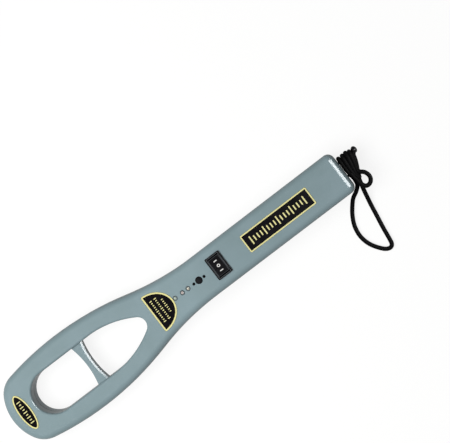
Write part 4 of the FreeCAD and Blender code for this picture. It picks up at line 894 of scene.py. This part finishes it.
@dataclass
class SwitchMarks:
    """The plain I O I marks on the rocker, in a row across the wand."""

    pitch: float = 5.2
    height: float = 3.4
    bar_width: float = 0.95
    ring_width: float = 3.1
    ring_line: float = 0.76
    step: float = 0.5

    def build(self) -> None:
        """Prints the ring in the valley of the rocker and a bar on each of its faces."""
        low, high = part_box("switch_rocker")
        middle = (low.x + high.x) / 2 / MM
        ink = Print("switch_marks", "switch_rocker", Body.ROCKER, "switch_black", SWITCH_INK, step=self.step)
        ink.ring((middle, 0), self.height, self.ring_width, self.ring_line)
        for side in (-1, 1):
            ink.bar((middle, side * self.pitch), self.height, self.bar_width)
        ink.lay()


@dataclass
class PaintedLipHighlights:
    """Painted highlights on the narrow raised lips of the switch frame and its rocker: grey lines that stand in for
    the light along their edges.

    Each inset is how far a lip lies inside its solid's corners, along and across. The
    rocker's solid ends in its pivots, so its inset along reaches past them.
    """

    frame_inset: tuple[float, float] = (1.15, 0.85)
    rocker_inset: tuple[float, float] = (1.2, 1.1)
    line: float = 0.5
    thickness: float = 0.06
    step: float = 0.5

    def lip(self, node: str, body: Body, inset: tuple[float, float]) -> None:
        """Lays one lip's painted highlight, a rectangle of four bars.

        Args:
            node: the solid that it lies on.
            body: the body that it moves with.
            inset: how far inside the solid's corners it lies.
        """
        low, high = (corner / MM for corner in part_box(node))
        middle = (low.x + high.x) / 2
        length, width = high.x - low.x - 2 * inset[0], high.y - low.y - 2 * inset[1]
        ink = Print(node + "_lip", node, body, "switch_black", LIP_HIGHLIGHT_INK, self.thickness, self.step)
        for side in (-1, 1):
            ink.bar((middle, side * (width - self.line) / 2), length, self.line)
            ink.bar((middle + side * (length - self.line) / 2, 0), self.line, width - 2 * self.line)
        ink.lay()

    def build(self) -> None:
        """Lays the painted highlight of the frame's lip beside its opening and of the rocker's lip on its block."""
        self.lip("switch_housing", Body.CASING, self.frame_inset)
        self.lip("switch_rocker", Body.ROCKER, self.rocker_inset)


# Wrist strap

@dataclass(frozen=True)
class Braid:
    """A round braid swept along a smooth route, with its strands raised from the surface."""

    diameter: float = 4.2
    strands: int = 8
    relief: float = 0.34
    # Points round the cord.
    around: int = 48
    # The height, as a share of a strand's own, that lies at the cord's diameter.
    seat_share: float = 0.7
    # How much steeper than a half round a strand falls to its sides, and how far it dips at its crossings.
    steepness: float = 1.9
    dip_share: float = 0.28

    def line(self, name: str, route: Sequence[Point], steps: int) -> bpy.types.Object:
        """Draws the route as one smooth open spline.

        Args:
            name: the curve's name.
            route: its control points, in metres.
            steps: points on it for each control point.

        Returns:
            The curve, linked to the scene.
        """
        data = bpy.data.curves.new(name, "CURVE")
        data.dimensions = "3D"
        spline = data.splines.new("NURBS")
        spline.points.add(len(route) - 1)
        for point, place in zip(spline.points, route):
            point.co = (*place, 1)
        spline.order_u = 3
        spline.use_endpoint_u = True
        spline.resolution_u = steps
        curve = bpy.data.objects.new(name, data)
        bpy.context.scene.collection.objects.link(curve)
        bpy.context.view_layer.update()
        return curve

    def height(self, along: float, turn: float) -> float:
        """The height of the braid's surface at a point.

        Args:
            along: millimetres along the cord.
            turn: share of a turn round it.

        Returns:
            From 0 in a valley to 1 on a strand's crown.
        """
        cell = math.pi * self.diameter / self.strands
        first = along / cell + self.strands * turn
        second = along / cell - self.strands * turn
        cross, course = first % 1 - 0.5, second % 1 - 0.5
        if (math.floor(first) + math.floor(second)) % 2:
            cross, course = course, cross
        crown = 1 - self.dip_share + self.dip_share * math.cos(math.pi * course)
        return math.sqrt(max(0, 1 - (self.steepness * cross) ** 2)) * crown

    def raise_strands(self, mesh: bpy.types.Mesh, path: Sequence[Vector], reach: Sequence[float],
                      around: int) -> None:
        """Lifts the strands of a plain tube, and keeps each point's height for the yarn's finish.

        Args:
            mesh: the tube, ring by ring.
            path: the centres of its rings.
            reach: how far along the cord each ring lies, in millimetres.
            around: points in a ring.
        """
        heights = []
        for number, vert in enumerate(mesh.vertices):
            ring = number // around
            lift = self.height(reach[ring], number % around / around)
            heights.append(lift)
            out = (vert.co - path[ring]).normalized()
            vert.co = path[ring] + out * (self.diameter / 2 + self.relief * (lift - self.seat_share)) * MM
        mesh.attributes.new("strand_height", "FLOAT", "POINT").data.foreach_set("value", heights)

    @staticmethod
    def chart(mesh: bpy.types.Mesh, reach: Sequence[float], around: int) -> None:
        """Gives the tube its map: millimetres along in U, and shares of a turn in V.

        Args:
            mesh: the tube, ring by ring.
            reach: how far along the cord each ring lies, in millimetres.
            around: points in a ring.
        """
        while mesh.uv_layers:
            mesh.uv_layers.remove(mesh.uv_layers[0])
        layer = mesh.uv_layers.new(name="braid")
        for face in mesh.polygons:
            numbers = [mesh.loops[loop].vertex_index for loop in face.loop_indices]
            # The last face of a ring ends on the ring's first point, which is there a whole turn on.
            last = len(numbers) == 4 and max(number % around for number in numbers) == around - 1
            for loop, number in zip(face.loop_indices, numbers):
                turn = 1.0 if last and number % around == 0 else number % around / around
                layer.data[loop].uv = (reach[number // around], turn)

    def sweep(self, name: str, route: Sequence[Point], steps: int) -> tuple[bpy.types.Object, list[Vector]]:
        """Builds the braided tube along a route.

        Args:
            name: the piece's name.
            route: its control points, in metres.
            steps: points on it for each control point.

        Returns:
            The piece and the centres of its rings.
        """
        curve = self.line(name + "_line", route, steps)
        bare = bpy.data.meshes.new_from_object(curve)
        path = [vert.co.copy() for vert in bare.vertices]
        curve.data.bevel_depth = self.diameter / 2 * MM
        # A bevel has four points and two more for each step of its resolution.
        curve.data.bevel_resolution = (self.around - 4) // 2
        bpy.context.view_layer.update()
        mesh = bpy.data.meshes.new_from_object(curve)
        mesh.name = name
        around = len(mesh.vertices) // len(path)
        reach = [0.0]
        for before, after in zip(path, path[1:]):
            reach.append(reach[-1] + (after - before).length / MM)
        self.raise_strands(mesh, path, reach, around)
        self.chart(mesh, reach, around)
        closed = bmesh.new()
        closed.from_mesh(mesh)
        bmesh.ops.holes_fill(closed, edges=closed.edges, sides=0)
        closed.to_mesh(mesh)
        closed.free()
        mesh.polygons.foreach_set("use_smooth", [True] * len(mesh.polygons))
        mesh.materials.clear()
        mesh.materials.append(YARN.material())
        bpy.data.objects.remove(curve)
        bpy.data.meshes.remove(bare)
        piece = bpy.data.objects.new(name, mesh)
        bpy.context.scene.collection.objects.link(piece)
        return piece, path


@dataclass
class WristStrap:
    """The black braided strap: a wide loop and a small ear from one wound knot, and its sealed end."""

    braid: Braid = Braid()
    core_braid: Braid = Braid(diameter=7.2, strands=10, relief=0.4, around=40)
    # The two free runs' real lengths, in metres.
    loop_length: float = 0.184
    ear_length: float = 0.0466
    loop_route: tuple[Point, ...] = (
        (0.2039, -0.0090, 0.0215), (0.2027, -0.0135, 0.0208), (0.2009, -0.0200, 0.0190), (0.1992, -0.0275, 0.0130),
        (0.1978, -0.0350, 0.0060), (0.1961, -0.0435, 0.0023), (0.1943, -0.0550, 0.0022), (0.1920, -0.0680, 0.00225),
        (0.1908, -0.0780, 0.0022), (0.1893, -0.0868, 0.0022), (0.1831, -0.0870, 0.0022), (0.1769, -0.0803, 0.00225),
        (0.1716, -0.0715, 0.0022), (0.1693, -0.0610, 0.0022), (0.1709, -0.0500, 0.00225), (0.1756, -0.0404, 0.0022),
        (0.1814, -0.0328, 0.0034), (0.1866, -0.0270, 0.0072), (0.1923, -0.0243, 0.0126), (0.1979, -0.0194, 0.0156),
        (0.1984, -0.0146, 0.0160), (0.1988, -0.0110, 0.0172),
    )
    ear_route: tuple[Point, ...] = (
        (0.1988, -0.0065, 0.0248), (0.1992, -0.0125, 0.0248), (0.2002, -0.0203, 0.0250), (0.2030, -0.0256, 0.0250),
        (0.2086, -0.0252, 0.0250), (0.2119, -0.0200, 0.0250), (0.2102, -0.0134, 0.0248), (0.2056, -0.0103, 0.0240),
        (0.2044, -0.0060, 0.0232),
    )
    # Runs of the knot, from the throat by the small ear over the bow and back under it.
    knot_runs: tuple[tuple[Point, ...], ...] = (
        ((0.1992, -0.0158, 0.0206), (0.1980, -0.0095, 0.0236), (0.1976, -0.0035, 0.0247), (0.1976, 0.0030, 0.0249),
         (0.1977, 0.0092, 0.0246), (0.1979, 0.0120, 0.0213), (0.1977, 0.0092, 0.0176), (0.1976, 0.0030, 0.0171),
         (0.1976, -0.0030, 0.0171), (0.1981, -0.0090, 0.0180), (0.1994, -0.0152, 0.0194)),
        ((0.2016, -0.0148, 0.0224), (0.2008, -0.0085, 0.0246), (0.2007, -0.0025, 0.0257), (0.2011, 0.0040, 0.0261),
         (0.2018, 0.0094, 0.0254), (0.2024, 0.0121, 0.0213), (0.2028, 0.0092, 0.0168), (0.2028, 0.0036, 0.0156),
         (0.2024, -0.0026, 0.0158), (0.2021, -0.0086, 0.0170), (0.2023, -0.0148, 0.0188)),
        ((0.2022, -0.0142, 0.0222), (0.2027, -0.0086, 0.0246), (0.2039, -0.0022, 0.0260), (0.2053, 0.0044, 0.0266),
         (0.2060, 0.0098, 0.0256), (0.2064, 0.0124, 0.0213), (0.2066, 0.0092, 0.0166), (0.2064, 0.0034, 0.0154),
         (0.2056, -0.0026, 0.0158), (0.2042, -0.0086, 0.0170), (0.2028, -0.0146, 0.0188)),
        ((0.2030, -0.0146, 0.0210), (0.2046, -0.0084, 0.0234), (0.2070, -0.0022, 0.0250), (0.2088, 0.0040, 0.0256),
         (0.2096, 0.0090, 0.0248), (0.2100, 0.0112, 0.0213), (0.2098, 0.0082, 0.0176), (0.2090, 0.0028, 0.0168),
         (0.2074, -0.0030, 0.0172), (0.2053, -0.0086, 0.0182), (0.2032, -0.0150, 0.0192)),
        ((0.2030, -0.0152, 0.0196), (0.2056, -0.0086, 0.0212), (0.2086, -0.0030, 0.0218), (0.2107, 0.0026, 0.0218),
         (0.2116, 0.0064, 0.0214), (0.2146, 0.0092, 0.0210)),
    )
    core_route: tuple[Point, ...] = ((0.2046, 0.0092, 0.0212), (0.2050, 0.0030, 0.0212), (0.2036, -0.0050, 0.0210),
                                     (0.2024, -0.0120, 0.0206))
    blob: Point = (214.7, 9.2, 21.0)
    blob_radius: float = 3.4
    blob_shape: Point = (0.86, 1, 0.96)
    # The blob's lumps, large and fine: each height as a share of the radius, and how many to a millimetre.
    blob_lumps: tuple[tuple[float, float], ...] = ((0.07, 0.45), (0.02, 1.6))

    def cord(self, name: str, node: str, route: tuple[Point, ...], steps: int) -> None:
        """Args:
            name: the piece's name.
            node: the solid that it stands for.
            route: its control points, in metres.
            steps: points on it for each control point.
        """
        piece, path = self.braid.sweep(name, route, steps)
        place_piece(piece, Body.CASING, [node])

    def knot(self) -> None:
        """Lays the knot's runs over its core, the first of them standing for the knot."""
        for number, route in enumerate(self.knot_runs, start=1):
            run, _ = self.braid.sweep(f"strap_knot_run_{number}", route, steps=14)
            place_piece(run, Body.CASING, ["strap_knot"] if number == 1 else [])
        inner, _ = self.core_braid.sweep("strap_knot_core", self.core_route, steps=20)
        place_piece(inner, Body.CASING)

    def sealed_end(self) -> None:
        """Builds the melted blob on the end of the outermost run."""
        form = bmesh.new()
        bmesh.ops.create_icosphere(form, subdivisions=5, radius=self.blob_radius)
        bmesh.ops.scale(form, vec=self.blob_shape, verts=form.verts)
        for vert in form.verts:
            vert.co *= 1 + sum(height * noise.noise(vert.co * rate) for height, rate in self.blob_lumps)
        bmesh.ops.translate(form, vec=self.blob, verts=form.verts)
        bmesh.ops.scale(form, vec=(MM, MM, MM), verts=form.verts)
        place_piece(as_object("strap_blob", form, SEALED_YARN), Body.CASING, ["strap_end"])

    def build(self) -> None:
        """Builds the strap from its runs to its sealed end."""
        self.cord("strap_loop_braid", "strap_loop", self.loop_route, steps=32)
        self.cord("strap_ear_braid", "strap_ear", self.ear_route, steps=22)
        self.knot()
        self.sealed_end()


# Solids that keep their shape

@dataclass
class Wand:
    """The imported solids, each dressed in its finish."""

    nodes: Mapping[str, bpy.types.Object]

    def dress(self) -> None:
        """Gives every solid its material."""
        for name, finish in NODE_FINISHES.items():
            piece = self.nodes[name]
            if not piece.material_slots:
                piece.data.materials.append(finish.material())
            for slot in piece.material_slots:
                slot.material = finish.material()
            log.info("%s: %s", name, finish.name)


# Studio

@dataclass(frozen=True)
class Lamp:
    """A soft box, turned to the wand: its size is across and along, in millimetres, and its power in watts.

    One that is mirrored shows in gloss alone, and one that isn't lights the surfaces but stays
    out of reflections.
    """

    name: str
    place: Point
    size: tuple[float, float]
    power: float
    mirrored: bool

    def hang(self) -> None:
        """Makes the lamp and adds it to the scene."""
        data = bpy.data.lights.new(self.name, "AREA")
        data.shape = "RECTANGLE"
        data.size, data.size_y = self.size[0] * MM, self.size[1] * MM
        data.energy = self.power
        lamp = bpy.data.objects.new(self.name, data)
        lamp.visible_glossy = self.mirrored
        lamp.visible_diffuse = not self.mirrored
        lamp.location = Vector(self.place) * MM
        lamp.rotation_euler = Vector(self.place).to_track_quat("Z", "Y").to_euler()
        bpy.context.scene.collection.objects.link(lamp)


@dataclass
class Studio:
    """Pale floor, soft lamps, grey-white surroundings and the camera."""

    # Half the floor's width in metres, and how far it lies under the wand in millimetres.
    floor_half: float = 30.0
    floor_drop: float = 0.2
    camera_place: Point = (182.27, 14.03, 1200.53)
    camera_right: Point = (0.790588, -0.607234, -0.078975)
    camera_up: Point = (0.605764, 0.794418, -0.044159)
    camera_back: Point = (0.089554, -0.012929, 0.995898)
    lens: float = 99.2
    sensor_width: float = 36.0
    nearest_seen: float = 50.0
    world_strength: float = 0.12
    # The large lamp stays out of reflections, so that the flat black labels keep their depth. The strip only
    # adds the streaks along the rounded edges.
    lamps: tuple[Lamp, ...] = (
        Lamp("overhead", (-560, 120, 1330), (1200, 1000), power=21.5, mirrored=False),
        Lamp("strip", (950, -90, 1090), (640, 1060), power=31.0, mirrored=True),
    )

    def floor(self) -> None:
        """Lays the floor just under the wand."""
        form = bmesh.new()
        bmesh.ops.create_grid(form, x_segments=1, y_segments=1, size=self.floor_half)
        bmesh.ops.translate(form, vec=(0, 0, -self.floor_drop * MM), verts=form.verts)
        ground = as_object("studio_floor", form, PAPER, smooth=False)
        if ground.data.polygons[0].normal.z < 0:
            ground.data.flip_normals()

    def light(self) -> None:
        """Sets the surroundings and hangs the lamps."""
        world = bpy.data.worlds.new("studio")
        world.use_nodes = True
        background = world.node_tree.nodes["Background"]
        background.inputs["Color"].default_value = (1, 1, 1, 1)
        background.inputs["Strength"].default_value = self.world_strength
        bpy.context.scene.world = world
        for lamp in self.lamps:
            lamp.hang()

    def camera(self) -> None:
        """Places the camera of the picture."""
        data = bpy.data.cameras.new("picture")
        data.lens = self.lens
        data.sensor_width = self.sensor_width
        data.sensor_fit = "HORIZONTAL"
        data.clip_start = self.nearest_seen * MM
        made = bpy.data.objects.new("picture", data)
        turn = Matrix((self.camera_right, self.camera_up, self.camera_back)).transposed()
        made.matrix_world = Matrix.Translation(Vector(self.camera_place) * MM) @ turn.to_4x4()
        bpy.context.scene.collection.objects.link(made)
        bpy.context.scene.camera = made

    def build(self) -> None:
        """Sets the whole studio up."""
        bpy.context.scene.view_settings.view_transform = "Standard"
        self.floor()
        self.light()
        self.camera()


def main() -> None:
    """Builds the dressed wand and its studio."""
    logging.basicConfig(level=logging.INFO, format="%(name)s %(message)s")
    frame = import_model()
    Studio().build()
    WristStrap().build()
    Wand(frame["nodes"]).dress()
    Labels().build()
    LampShadowRings().build()
    SwitchMarks().build()
    PaintedLipHighlights().build()


if __name__ == "__main__":
    main()
